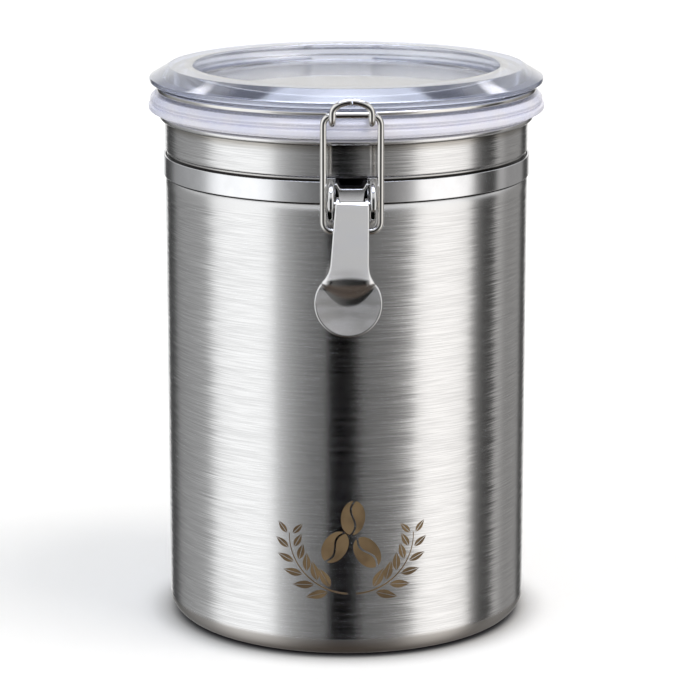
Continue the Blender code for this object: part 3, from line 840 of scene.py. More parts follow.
@dataclass(frozen=True)
class PlainSteel:
    """Polished or satin steel without a brushing direction."""

    name: str
    colour: Colour
    roughness: float
    wear: Point2 = (0.02, 0.04)
    grain: float = 0.35 * MM
    patch: float = 6 * MM
    relief: float = 0.002 * MM
    tone_low: float = 0.96
    tone_high: float = 1.03
    window: WindowShadowPlace | None = None
    window_shadow_colour: Colour = (0.012, 0.011, 0.011)
    tongue_lift: float = 0.62

    def window_masks(self, graph: Graph, place: object) -> tuple[bpy.types.NodeSocket, bpy.types.NodeSocket]:
        """Mask the window in the bracket's plate that is painted dark as shadow, and the tongue that stands
        before it.

        Args:
            graph: The material's graph.
            place: Socket of the object coordinates.

        Returns:
            The masks of the painted window shadow and of the tongue.
        """
        window, axes = self.window, graph.split(place)
        aside = graph.math("ABSOLUTE", axes["X"])
        belt = graph.product(graph.between(aside, window.half + window.fade, window.half),
                             graph.between(axes["Z"], window.low - window.fade, window.low),
                             graph.between(axes["Z"], window.high + window.fade, window.high))
        shadowed_face = graph.math("LESS_THAN", graph.reach(place), window.face + window.clearance)
        return graph.product(belt, shadowed_face), graph.product(belt, graph.math("SUBTRACT", 1.0, shadowed_face))

    def make(self) -> bpy.types.Material:
        """Build the finish.

        Returns:
            The material.
        """
        material, graph, place = new_finish(self.name)
        grain = graph.grain(place, self.grain, self.grain, detail=3.0, rough=0.6)
        patch = graph.grain(place, self.patch, self.patch, detail=3.0)
        tone = graph.between(patch, NOISE_LOW, NOISE_HIGH, self.tone_low, self.tone_high)
        shade = graph.vector("MULTIPLY", self.colour, graph.grey(tone))
        normal = graph.bump(grain, self.relief)
        if self.window:
            shadowed_face, tongue = self.window_masks(graph, place)
            # Painted shadow: the plate's face behind the tongue is coloured near black, as a shaded opening
            shade = graph.mix(shadowed_face, shade, self.window_shadow_colour)
            lift = graph.node("CombineXYZ", {2: graph.product(tongue, self.tongue_lift)}).outputs[0]
            normal = graph.leaned(normal, lift)
        both = graph.math("ADD", graph.product(grain, 0.5), graph.product(patch, 0.5))
        close_finish(graph, {
            "Base Color": shade,
            "Metallic": 1.0,
            "Roughness": graph.worn(both, self.roughness, self.wear),
            "Normal": normal,
        })
        return material


@dataclass(frozen=True)
class PressedSteel:
    """Satin steel of the lever, with the soft press marks of its strip, bend and finger plate."""

    colour: Colour = (0.70, 0.69, 0.68)
    worn_colour: Colour = (0.66, 0.655, 0.66)
    roughness: float = 0.20
    wear: Point2 = (0.01, 0.02)
    strip_tilt: float = 0.335
    bend_tilt: float = -0.80
    disc_tilt: float = -0.01
    flare: float = 0.62
    bend_x: float = -1.1 * MM
    bend_z: float = 123.9 * MM
    bend_half: float = 2.3 * MM
    bend_tip: float = 0.1 * MM
    bend_above: float = 2.3
    bend_below: float = -2.1
    bend_blend: float = 1.2
    smile: float = 38.0
    taper: float = 26.0
    corner_start: float = 4.8 * MM
    corner_end: float = 7.6 * MM
    waist_half: float = 3.6 * MM
    waist_full: float = 0.2 * MM
    press_mark: float = 3.2 * MM
    press_stretch: float = 3
    worn_end: float = 0.75
    mark_lean: float = 0.015

    def make(self) -> bpy.types.Material:
        """Build the finish.

        Returns:
            The material.
        """
        material, graph, place = new_finish("pressed_steel")
        facing = graph.node("NewGeometry").outputs["Normal"]
        marks = graph.grain(place, self.press_mark * self.press_stretch, self.press_mark)
        axes = graph.split(place)
        across = graph.math("SUBTRACT", axes["X"], self.bend_x)
        aside = graph.product(across, across)
        middle = graph.math("MULTIPLY_ADD", aside, self.smile, self.bend_z)
        half = graph.math("MULTIPLY_ADD", aside, -self.taper, self.bend_half)
        half = graph.math("MAXIMUM", half, self.bend_tip)
        offset = graph.math("DIVIDE", graph.math("SUBTRACT", axes["Z"], middle), half)
        bend = graph.between(offset, 0.0, self.bend_above, 1.0, 0.0)
        bend = graph.math("MINIMUM", bend, graph.between(offset, self.bend_below, 0.0))
        level = graph.between(offset, -self.bend_blend, self.bend_blend, self.disc_tilt, self.strip_tilt)
        level = graph.math("ADD", level, graph.product(graph.math("SUBTRACT", self.bend_tilt, level), bend))
        mark = graph.between(marks, NOISE_LOW, NOISE_HIGH, -self.mark_lean, self.mark_lean)
        level = graph.math("ADD", level, mark)
        above = graph.math("SUBTRACT", axes["Z"], self.bend_z)
        waist = graph.math("ABSOLUTE", graph.math("SUBTRACT", above, self.waist_half))
        beside = graph.between(graph.math("ABSOLUTE", across), self.corner_start, self.corner_end)
        corner = graph.product(beside, graph.between(waist, self.waist_full, self.waist_half, 1.0, 0.0))
        flare = graph.product(corner, self.flare, graph.math("SIGN", across))
        press = graph.to_world(graph.node("CombineXYZ", {0: flare, 2: level}).outputs[0])
        close_finish(graph, {
            "Base Color": graph.mix(graph.between(marks, NOISE_LOW, self.worn_end), self.colour,
                                    self.worn_colour),
            "Metallic": 1.0,
            "Roughness": graph.worn(marks, self.roughness, self.wear),
            "Normal": graph.leaned(facing, press),
        })
        return material


@dataclass(frozen=True)
class ClearPlastic:
    """Clear moulded plastic with a cool milky cast, and a warmer, hazier floor in its recess."""

    colour: Colour = (0.68, 0.74, 0.97)
    floor_colour: Colour = (0.97, 0.965, 0.95)
    cloud_colour: Colour = (0.90, 0.91, 0.95)
    cloud_share: float = 0.12
    cloud_span: Point2 = (0.3, 0.8)
    cloud_stretch: float = 3
    clearness: float = 0.85
    floor_clearness: float = 0.96
    roughness: float = 0.01
    haze: float = 0.02
    haze_span: Point2 = (0.35, 0.75)
    frost: float = 0.18
    refraction: float = 1.47
    gloss: float = 0.6
    gloss_refraction: float = 1.6
    gloss_roughness: float = 0.02
    plug_radius: float = 57.9 * MM
    seat_height: float = 181.0 * MM
    window_radius: float = 53.2 * MM
    frost_end: float = 52.2 * MM
    frost_fade: float = 1.0 * MM
    fade: float = 0.4 * MM
    ripple: float = 9 * MM
    ripple_relief: float = 0.003 * MM
    bevel_inside: float = 58.9 * MM
    bevel_foot: float = 182.1 * MM
    bevel_head: float = 185.4 * MM
    crown: float = 0.035

    def crowned(self, graph: Graph, place: object, reach: object, height: object,
                normal: object) -> bpy.types.NodeSocket:
        """Lean the bevel's normal outwards at its foot and inwards at its head, as on a crowned moulding.

        Args:
            graph: The material's graph.
            place: Socket of the object coordinates.
            reach: Socket of the distance from the axis.
            height: Socket of the height.
            normal: The normal to lean.

        Returns:
            The leaned normal.
        """
        share = graph.between(height, self.bevel_foot, self.bevel_head, self.crown, -self.crown)
        bevel = graph.product(graph.math("GREATER_THAN", reach, self.bevel_inside),
                              graph.math("GREATER_THAN", height, self.bevel_foot))
        amount = graph.product(share, bevel)
        outwards = graph.vector("NORMALIZE", graph.vector("MULTIPLY", place, LEVEL_PLANE))
        lean = graph.to_world(graph.vector("MULTIPLY", outwards, graph.grey(amount)))
        return graph.leaned(normal, lean)

    def make(self) -> bpy.types.Material:
        """Build the finish.

        Returns:
            The material.
        """
        material, graph, place = new_finish("clear_plastic")
        ripple = graph.grain(place, self.ripple, self.ripple)
        cloud_size = self.ripple * self.cloud_stretch
        cloud = graph.grain(place, cloud_size, cloud_size, detail=4.0)
        reach, height = graph.reach(place), graph.split(place)["Z"]
        outer = graph.between(reach, self.plug_radius - self.fade, self.plug_radius)
        upper = graph.between(height, self.seat_height - self.fade, self.seat_height)
        ring = graph.between(reach, self.window_radius, self.window_radius + self.fade)
        milky = graph.math("MAXIMUM", outer, graph.product(upper, ring))
        tint = graph.mix(milky, self.floor_colour, self.colour)
        rough = graph.between(cloud, *self.haze_span, self.roughness, self.roughness + self.haze)
        frosted = graph.between(reach, self.frost_end - self.frost_fade, self.frost_end, self.frost, 0.0)
        close_finish(graph, {
            "Base Color": graph.mix(graph.between(cloud, *self.cloud_span, 0.0, self.cloud_share), tint,
                                    self.cloud_colour),
            "Roughness": graph.math("ADD", rough, frosted),
            "IOR": self.refraction,
            "Coat Weight": self.gloss,
            "Coat IOR": self.gloss_refraction,
            "Coat Roughness": self.gloss_roughness,
            "Transmission Weight": graph.between(milky, 0.0, 1.0, self.floor_clearness, self.clearness),
            "Normal": self.crowned(graph, place, reach, height, graph.bump(ripple, self.ripple_relief)),
        })
        return material


@dataclass(frozen=True)
class Silicone:
    """Soft translucent sealing silicone."""

    colour: Colour = (0.70, 0.71, 0.83)
    cloud_colour: Colour = (0.76, 0.75, 0.82)
    roughness: float = 0.22
    wear: Point2 = (0.05, 0.08)
    refraction: float = 1.42
    glow: float = 0.12
    glow_depth: tuple[float, float, float] = (2.0 * MM, 2.0 * MM, 2.4 * MM)
    grain: float = 0.5 * MM
    cloud: float = 12 * MM
    relief: float = 0.0001 * MM

    def make(self) -> bpy.types.Material:
        """Build the finish.

        Returns:
            The material.
        """
        material, graph, place = new_finish("silicone")
        grain = graph.grain(place, self.grain, self.grain, detail=3.0)
        cloud = graph.grain(place, self.cloud, self.cloud)
        close_finish(graph, {
            "Base Color": graph.mix(graph.between(cloud, NOISE_LOW, NOISE_HIGH), self.colour,
                                    self.cloud_colour),
            "Roughness": graph.worn(grain, self.roughness, self.wear),
            "IOR": self.refraction,
            "Subsurface Weight": self.glow,
            "Subsurface Radius": self.glow_depth,
            "Subsurface Scale": 1.0,
            "Normal": graph.bump(grain, self.relief),
        })
        return material


@dataclass(frozen=True)
class EtchedMark:
    """Brown heat-etched mark with a gold tint."""

    colour: Colour = (0.095, 0.062, 0.032)
    gold: Colour = (0.175, 0.118, 0.060)
    gold_span: Point2 = (0.35, 0.7)
    metal: float = 0.12
    gloss: float = 0.25
    smoothest: float = 0.38
    roughest: float = 0.55
    grain: float = 0.4 * MM
    grain_stretch: float = 6
    relief: float = 0.004 * MM
    cloud: float = 9 * MM

    def make(self) -> bpy.types.Material:
        """Build the finish.

        Returns:
            The material.
        """
        material, graph, place = new_finish("etched_mark")
        grain = graph.grain(place, self.grain * self.grain_stretch, self.grain)
        cloud = graph.grain(place, self.cloud, self.cloud)
        close_finish(graph, {
            "Base Color": graph.mix(graph.between(cloud, *self.gold_span), self.colour, self.gold),
            "Metallic": self.metal,
            "Roughness": graph.between(grain, NOISE_LOW, NOISE_HIGH, self.smoothest, self.roughest),
            "Specular IOR Level": self.gloss,
            "Normal": graph.bump(grain, self.relief),
        })
        return material


@dataclass
class SteelCan:
    """The drawn can: base, brushed wall, groove for the strap, neck and rolled rim."""

    box: Box
    strap: Box
    finish: bpy.types.Material
    wall_radius: float = 60.0 * MM
    sheet: float = 0.7 * MM
    base_corner: float = 6.8 * MM
    bead: float = 0.95 * MM
    bead_inset: float = 0.45 * MM
    groove_depth: float = 0.5 * MM
    seat_gap: float = 0.3 * MM
    shoulder_height: float = 3.0 * MM
    groove_top_step: float = 0.7 * MM
    curl_start: float = math.radians(150)
    panel_radius: float = 47.0 * MM
    panel_rise: float = 0.45 * MM
    panel_run: float = 1.6 * MM
    panel_round: float = 1.2 * MM
    shoulder_round: float = 2.0 * MM
    shoulder_steps: int = 12
    groove_round: float = 0.4 * MM
    neck_round: float = 0.5 * MM
    crease_tuck: float = 0.02 * MM

    def profile(self) -> list[Point2]:
        """Profile up the inside, over the rolled rim and down the outside.

        Returns:
            The points, from the middle of the inner base to the middle of the underside.
        """
        inner = self.wall_radius - self.sheet
        groove = self.wall_radius - self.groove_depth
        groove_inner = groove - self.sheet
        shoulder_top = self.strap.low.z - self.seat_gap
        shoulder_foot = shoulder_top - self.shoulder_height
        groove_top = self.strap.high.z + self.groove_top_step
        bead_middle = (self.box.radius - self.bead_inset - self.bead, self.box.high.z - self.bead)
        neck_foot = groove_top + self.groove_depth
        panel = self.panel_radius

        inside = filleted([
            (0, self.sheet + self.panel_rise, 0),
            (panel - self.panel_run, self.sheet + self.panel_rise, self.panel_round),
            (panel, self.sheet, self.panel_round),
            (inner, self.sheet, self.base_corner - self.sheet),
            (inner, shoulder_foot, self.shoulder_round),
            (groove_inner, shoulder_top, self.shoulder_round),
            (groove_inner, groove_top, self.groove_round),
            (inner, neck_foot, self.groove_round),
            (inner, bead_middle[1], 0),
        ])
        curl_end = HALF_TURN - math.acos((bead_middle[0] - self.wall_radius) / self.bead)
        curl = arc(bead_middle, self.bead, self.curl_start, -curl_end)
        crease = bead_middle[1] - self.bead * math.sin(curl_end)
        outside = filleted([
            (self.wall_radius, crease - self.crease_tuck, 0),
            (self.wall_radius, neck_foot, self.neck_round),
            (groove, groove_top, self.groove_round),
            (groove, shoulder_top, 0),
        ])
        shoulder = []
        for step in range(1, self.shoulder_steps + 1):
            turn = QUARTER_TURN * step / self.shoulder_steps
            shoulder.append((
                groove + self.groove_depth * math.sin(turn),
                shoulder_foot + self.shoulder_height * math.cos(turn),
            ))
        foot = filleted([
            (self.wall_radius, shoulder_foot - HOLD_LENGTH, 0),
            (self.wall_radius, 0, self.base_corner),
            (panel, 0, self.panel_round),
            (panel - self.panel_run, self.panel_rise, self.panel_round),
            (0, self.panel_rise, 0),
        ])
        return inside + curl + outside + shoulder + foot

    def build(self) -> bpy.types.Object:
        """Turn the can and dress it."""
        can = turned("steel_can", self.profile())
        return settle(can, self.finish, Body.CAN, Slot.WALL, "can_body")


@dataclass
class Strap:
    """The polished strap round the neck."""

    box: Box
    finish: bpy.types.Material
    thickness: float = 0.8 * MM
    edge_round: float = 0.22 * MM
    top_inset: float = 0.4 * MM

    def build(self) -> bpy.types.Object:
        """Turn the strap and dress it.

        Returns:
            The strap.
        """
        outer, inner = self.box.radius, self.box.radius - self.thickness
        low, high, rounding = self.box.low.z, self.box.high.z - self.top_inset, self.edge_round
        profile = filleted([
            (inner, high, rounding), (outer, high, rounding), (outer, low, rounding), (inner, low, rounding),
        ], closed=True)
        return settle(turned("strap", profile, closed=True), self.finish, Body.CAN, Slot.FITTINGS,
                      "band_strap")


@dataclass
class LatchBracket:
    """The stamped bracket: plate bent to the strap, two flared ears, slots and a tongue."""

    box: Box
    strap_radius: float
    pin: Vector
    finish: bpy.types.Material
    sheet: float = 0.8 * MM
    seat_gap: float = 0.3 * MM
    corner: float = 3.0 * MM
    top_corner: float = 0.6 * MM
    edge_round: float = 0.22 * MM
    plate_edge: float = 0.12 * MM
    ear_fullness: float = 0.75
    ear_sheet: float = 1.9 * MM
    ear_round: float = 0.7 * MM
    ear_inset: float = 1.95 * MM
    ear_flare: float = math.radians(2.5)
    ear_foot: float = 2.1 * MM
    ear_foot_round: float = 1.4 * MM
    ear_top_flat: float = 2.0 * MM
    ear_steps: int = 14
    ear_below_top: float = 0.2 * MM
    pin_hole: float = 1.3 * MM
    slot_inset: float = 1.4 * MM
    slot_width: float = 1.3 * MM
    slot_height: float = 4.0 * MM
    slot_below_ear: float = 0.1 * MM
    tongue_top: float = 4.4 * MM
    tongue_foot: float = 3.5 * MM
    tongue_length: float = 8.2 * MM
    tongue_foot_rise: float = 5.8 * MM
    tongue_lean: float = math.radians(20)
    tongue_curl: float = math.radians(16)
    horn_rise: float = 2.2 * MM
    horn_width: float = 0.8 * MM
    horn_out: float = 1.0 * MM
    horn_slope: float = 0.3 * MM
    horn_root_round: float = 1.2 * MM
    horn_edge_round: float = 0.1 * MM
    horn_tip_round: float = 0.25 * MM
    horn_inner_round: float = 0.9 * MM
    plate_cut: float = 0.8 * MM
    tongue_cut: float = 0.5 * MM

    @property
    def plate_radius(self) -> float:
        """Radius of the plate's middle about the can's axis."""
        return self.strap_radius + self.seat_gap + self.sheet / 2

    @property
    def ear_middle(self) -> float:
        """Place of an ear's root, to the side of the middle."""
        return self.box.high.x - self.ear_inset

    def slot_hole(self, side: Side) -> list[Point2]:
        """Outline of the slot below the ear on one side.

        Args:
            side: The side that it is on.

        Returns:
            The points of the outline.
        """
        middle, half = side.value * (self.box.high.x - self.slot_inset), self.slot_width / 2
        top = self.pin.z - self.ear_foot - self.slot_below_ear - half
        bottom = top + self.slot_width - self.slot_height
        return (arc((middle, top), half, 0, HALF_TURN)
                + arc((middle, bottom), half, HALF_TURN, FULL_TURN))

    def build_plate(self) -> bpy.types.Object:
        """Cut the plate and bend it round the strap.

        Returns:
            The plate.
        """
        half, low, high = self.box.high.x, self.box.low.z, self.box.high.z
        outline = filleted([
            (half, high, self.top_corner), (-half, high, self.top_corner),
            (-half, low, self.corner), (half, low, self.corner),
        ], closed=True)
        slots = [self.slot_hole(side) for side in Side]
        item = plate("latch_plate", [outline, *slots], self.sheet, self.plate_edge,
                     [(Axis.X, spread(-half, half, self.plate_cut))])
        reshape(item, lambda point: wrapped(point.x, point.y, point.z, self.plate_radius))
        return item

    def build_ear(self, side: Side) -> bpy.types.Object:
        """Cut one ear, flare it outwards and stand it on the plate.

        Args:
            side: The side that it is on.

        Returns:
            The ear.
        """
        root = -self.plate_radius * math.cos(self.ear_middle / self.plate_radius)
        front = self.box.low.y
        high = self.box.high.z - self.ear_below_top
        low = self.pin.z - self.ear_foot
        crown = root - self.ear_top_flat
        outline = [(root, high)]
        for step in range(self.ear_steps + 1):
            turn = QUARTER_TURN * step / self.ear_steps
            outline.append((crown + (front - crown) * math.sin(turn) ** self.ear_fullness,
                            self.pin.z + (high - self.pin.z) * math.cos(turn) ** self.ear_fullness))
        outline += arc((front + self.ear_foot_round, low + self.ear_foot_round), self.ear_foot_round,
                       HALF_TURN, HALF_TURN + QUARTER_TURN)
        outline.append((root, low))
        hole = arc((self.pin.y, self.pin.z), self.pin_hole, 0, FULL_TURN)[:-1]
        item = plate("ear", [outline, hole], self.ear_sheet, self.ear_round)
        slope = math.tan(self.ear_flare)

        def stand(point: Vector) -> Vector:
            """Turn the flat ear into the side plane and lean it outwards."""
            out = self.ear_middle + (root - point.x) * slope + point.z
            return Vector((side.value * out, point.x, point.y))

        reshape(item, stand)
        return item

    def build_tongue(self) -> bpy.types.Object:
        """Cut the tongue and curl it forwards from the plate.

        Returns:
            The tongue.
        """
        half, top = self.tongue_top, self.tongue_length
        tip, out = half + self.horn_out, top + self.horn_rise
        side = [
            (self.tongue_foot, 0, 0),
            (half - self.horn_slope, top - self.horn_out, self.horn_root_round),
            (tip, out - self.horn_slope, self.horn_edge_round),
            (tip - self.horn_width, out, self.horn_tip_round),
            (half - self.horn_width, top, self.horn_inner_round),
        ]
        outline = filleted(side + [(-x, z, rounding) for x, z, rounding in reversed(side)], closed=True)
        item = plate("tongue", [outline], self.sheet, self.edge_round,
                     [(Axis.Y, spread(0, self.tongue_length + self.horn_rise, self.tongue_cut))])
        foot = Vector((0, -self.plate_radius, self.box.low.z + self.tongue_foot_rise))
        radius = self.tongue_length / self.tongue_curl
        start = self.tongue_lean - self.tongue_curl / 2

        def curl(point: Vector) -> Vector:
            """Lean the tongue out, and more so towards its tip.

            Args:
                point: Place on the flat tongue.

            Returns:
                The place on the curled one.
            """
            turn = start + point.y / radius
            out = radius * (math.cos(start) - math.cos(turn)) + point.z * math.cos(turn)
            up = radius * (math.sin(turn) - math.sin(start)) - point.z * math.sin(turn)
            return foot + Vector((point.x, -out, up))

        reshape(item, curl)
        return item

    def build(self) -> bpy.types.Object:
        """Join plate, ears and tongue, and dress the bracket.

        Returns:
            The bracket.
        """
        bracket = self.build_plate()
        unite(bracket, [self.build_ear(side) for side in Side] + [self.build_tongue()])
        level_normals(bracket)
        return settle(bracket, self.finish, Body.CAN, Slot.FITTINGS, "latch_bracket")


@dataclass
class PivotPin:
    """The lever's pin, with a domed head outside each ear."""

    middle: Vector
    finish: bpy.types.Material
    radius: float = 1.0 * MM
    shank_end: float = 7.3 * MM
    head_radius: float = 1.6 * MM
    head_height: float = 0.45 * MM
    head_round: float = 0.35 * MM
    head_foot_round: float = 0.08 * MM

    def build(self) -> bpy.types.Object:
        """Turn the pin, lay it along X and dress it.

        Returns:
            The pin.
        """
        end = self.shank_end + self.head_height
        half = filleted([
            (0, end, 0), (self.head_radius, end, self.head_round),
            (self.head_radius, self.shank_end, self.head_foot_round), (self.radius, self.shank_end, 0),
        ])
        profile = half + [(radius, -height) for radius, height in reversed(half)]
        pin = turned("pivot_pin", profile, segments=SMALL_TURNED_SEGMENTS)
        reshape(pin, lambda point: Vector((point.z, -point.y, point.x)) + self.middle)
        return settle(pin, self.finish, Body.CAN, Slot.FITTINGS, "lever_pin")


@dataclass
class HingePlate:
    """The rear plate with its arm and the knuckle that is curled round the wire."""

    box: Box
    strap_radius: float
    pin: Vector
    finish: bpy.types.Material
    sheet: float = 0.78 * MM
    seat_gap: float = 0.3 * MM
    wire_hole: float = 1.4 * MM
    shoulder_round: float = 1.2 * MM
    curl_end: float = math.radians(-212)
    edge_round: float = 0.18 * MM
    cut: float = 1.2 * MM

    def outline(self) -> list[Point2]:
        """Outline of the bent sheet from the side, as (Y, Z).

        Returns:
            The points of the closed outline.
        """
        half = self.sheet / 2
        middle = self.wire_hole + half
        back = self.strap_radius + self.seat_gap + half
        top = self.pin.z + middle
        path = filleted([
            (back, self.box.low.z, 0), (back, top, self.shoulder_round + half), (self.pin.y, top, 0),
        ])
        path += arc((self.pin.y, self.pin.z), middle, QUARTER_TURN, self.curl_end)[1:]
        left, right = [], []
        for index, place in enumerate(path):
            before = Vector(path[max(index - 1, 0)])
            after = Vector(path[min(index + 1, len(path) - 1)])
            way = (after - before).normalized()
            across = Vector((-way.y, way.x)) * half
            left.append(tuple(Vector(place) + across))
            right.append(tuple(Vector(place) - across))
        return left + right[::-1]

    def build(self) -> bpy.types.Object:
        """Cut the bent sheet to its width, fit it to the strap's round and dress it.

        Returns:
            The hinge plate.
        """
        half_width = self.box.high.x
        cuts = [(Axis.Z, spread(-half_width, half_width, self.cut))]
        item = plate("hinge_plate", [self.outline()], half_width * 2, self.edge_round, cuts)
        back = self.strap_radius + self.seat_gap
        run = self.pin.y - self.wire_hole - back - self.sheet

        def fit(point: Vector) -> Vector:
            """Stand the sheet up and draw its plate back along the strap.

            Args:
                point: Place on the sheet as it was cut.

            Returns:
                The place on the fitted sheet.
            """
            x = point.z
            share = min(max((point.x - back - self.sheet) / run, 0), 1)
            drawn = (back - math.sqrt(back ** 2 - x ** 2)) * (1 - share * share * (3 - 2 * share))
            return Vector((x, point.x - drawn, point.y))

        reshape(item, fit)
        level_normals(item)
        return settle(item, self.finish, Body.CAN, Slot.FITTINGS, "hinge_bracket")


@dataclass
class HoopWire:
    """One wire: keeper arch and hooks, ring in the lid's groove, legs and crossbar at the hinge."""

    lid_neck: float
    gasket_radius: float
    keeper: Vector
    pin: Vector
    finish: bpy.types.Material
    radius: float = 1.1 * MM
    bail_radius: float = 1.05 * MM
    hook_clearance: float = 0.4 * MM
    seat_gap: float = 0.3 * MM
    ring_height: float = 178.25 * MM
    keeper_half: float = 6.1 * MM
    arch_rise: float = 3.6 * MM
    post: float = 1.0 * MM
    lean: float = 0.3 * MM
    bend: float = 2.0 * MM
    hinge_half: float = 12.3 * MM
    hook_end: float = math.radians(-36)
    butt_gap: float = 0.14 * MM
    end_round: float = 0.07 * MM
    arch_steps: int = 12
    ring_step: float = math.radians(2)
    spacing: float = 0.35 * MM
    easing: int = 3

    def half_route(self) -> list[Vector]:
        """Route on the +X side, from the butt joint at the keeper's top to the crossbar's middle.

        Returns:
            The points of the wire's middle.
        """
        hook = self.radius + self.bail_radius + self.hook_clearance
        ring = self.lid_neck + self.seat_gap + self.radius
        half, height = self.keeper_half, self.ring_height
        route = []
        for step in range(self.arch_steps + 1):
            turn = QUARTER_TURN * step / self.arch_steps
            route.append(Vector((
                max(half * math.sin(turn), self.butt_gap),
                self.keeper.y - hook - self.lean * math.cos(turn),
                self.keeper.z + self.post + self.arch_rise * math.cos(turn),
            )))
        route += [Vector((half, y, z))
                  for y, z in arc((self.keeper.y, self.keeper.z), hook, -HALF_TURN, self.hook_end)]

        foot_angle = math.asin((half + self.bend) / ring)
        foot_y = -ring * math.cos(foot_angle)
        route.append(Vector((half, -self.gasket_radius, height)))
        route += [Vector((x, y, height))
                  for x, y in arc((half + self.bend, foot_y - self.bend), self.bend, HALF_TURN, QUARTER_TURN)]

        rear_angle = HALF_TURN - math.asin((self.hinge_half + self.bend) / ring)
        steps = round((rear_angle - foot_angle) / self.ring_step)
        for step in range(1, steps):
            angle = foot_angle + (rear_angle - foot_angle) * step / steps
            route.append(Vector((ring * math.sin(angle), -ring * math.cos(angle), height)))
        rear_y = -ring * math.cos(rear_angle)
        route += [Vector((x, y, height))
                  for x, y in arc((self.hinge_half + self.bend, rear_y + self.bend), self.bend,
                                  -QUARTER_TURN, -HALF_TURN)]
        route += [Vector((self.hinge_half, y, z))
                  for y, z in arc((self.pin.y - self.bend, height - self.bend), self.bend, QUARTER_TURN, 0)]
        route += [Vector((x, self.pin.y, z))
                  for x, z in arc((self.hinge_half - self.bend, self.pin.z + self.bend), self.bend,
                                  0, -QUARTER_TURN)]
        return route

    def build(self) -> bpy.types.Object:
        """Bend the wire and dress it.

        Returns:
            The wire.
        """
        right = self.half_route()
        left = [Vector((-place.x, place.y, place.z)) for place in reversed(right)]
        path = eased(right + left, self.spacing, self.easing, closed=False)
        wire = swept("hoop_wire", path, self.radius, closed=False, end_round=self.end_round)
        return settle(wire, self.finish, Body.LID, Slot.FITTINGS, "lid_hoop")


@dataclass
class Bail:
    """The wire loop that the lever pulls down over the keeper."""

    crank: Vector
    keeper: Vector
    finish: bpy.types.Material
    radius: float = 1.05 * MM
    half_width: float = 8.9 * MM
    corner: float = 3.0 * MM
    spacing: float = 0.35 * MM
    easing: int = 2

    def build(self) -> bpy.types.Object:
        """Bend the loop between the crank and the keeper, and dress it.

        Returns:
            The bail.
        """
        rise = self.keeper - self.crank
        length = rise.length
        half, corner = self.half_width, self.corner
        flat = filleted([
            (half, 0, corner), (half, length, corner), (-half, length, corner), (-half, 0, corner),
        ], closed=True)
        up = rise.normalized()
        path = [self.crank + Vector((x, 0, 0)) + up * z for x, z in flat]
        path = eased(path, self.spacing, self.easing, closed=True)
        wire = swept("bail_wire", path, self.radius, closed=True)
        return settle(wire, self.finish, Body.BAIL, Slot.FITTINGS, "bail")


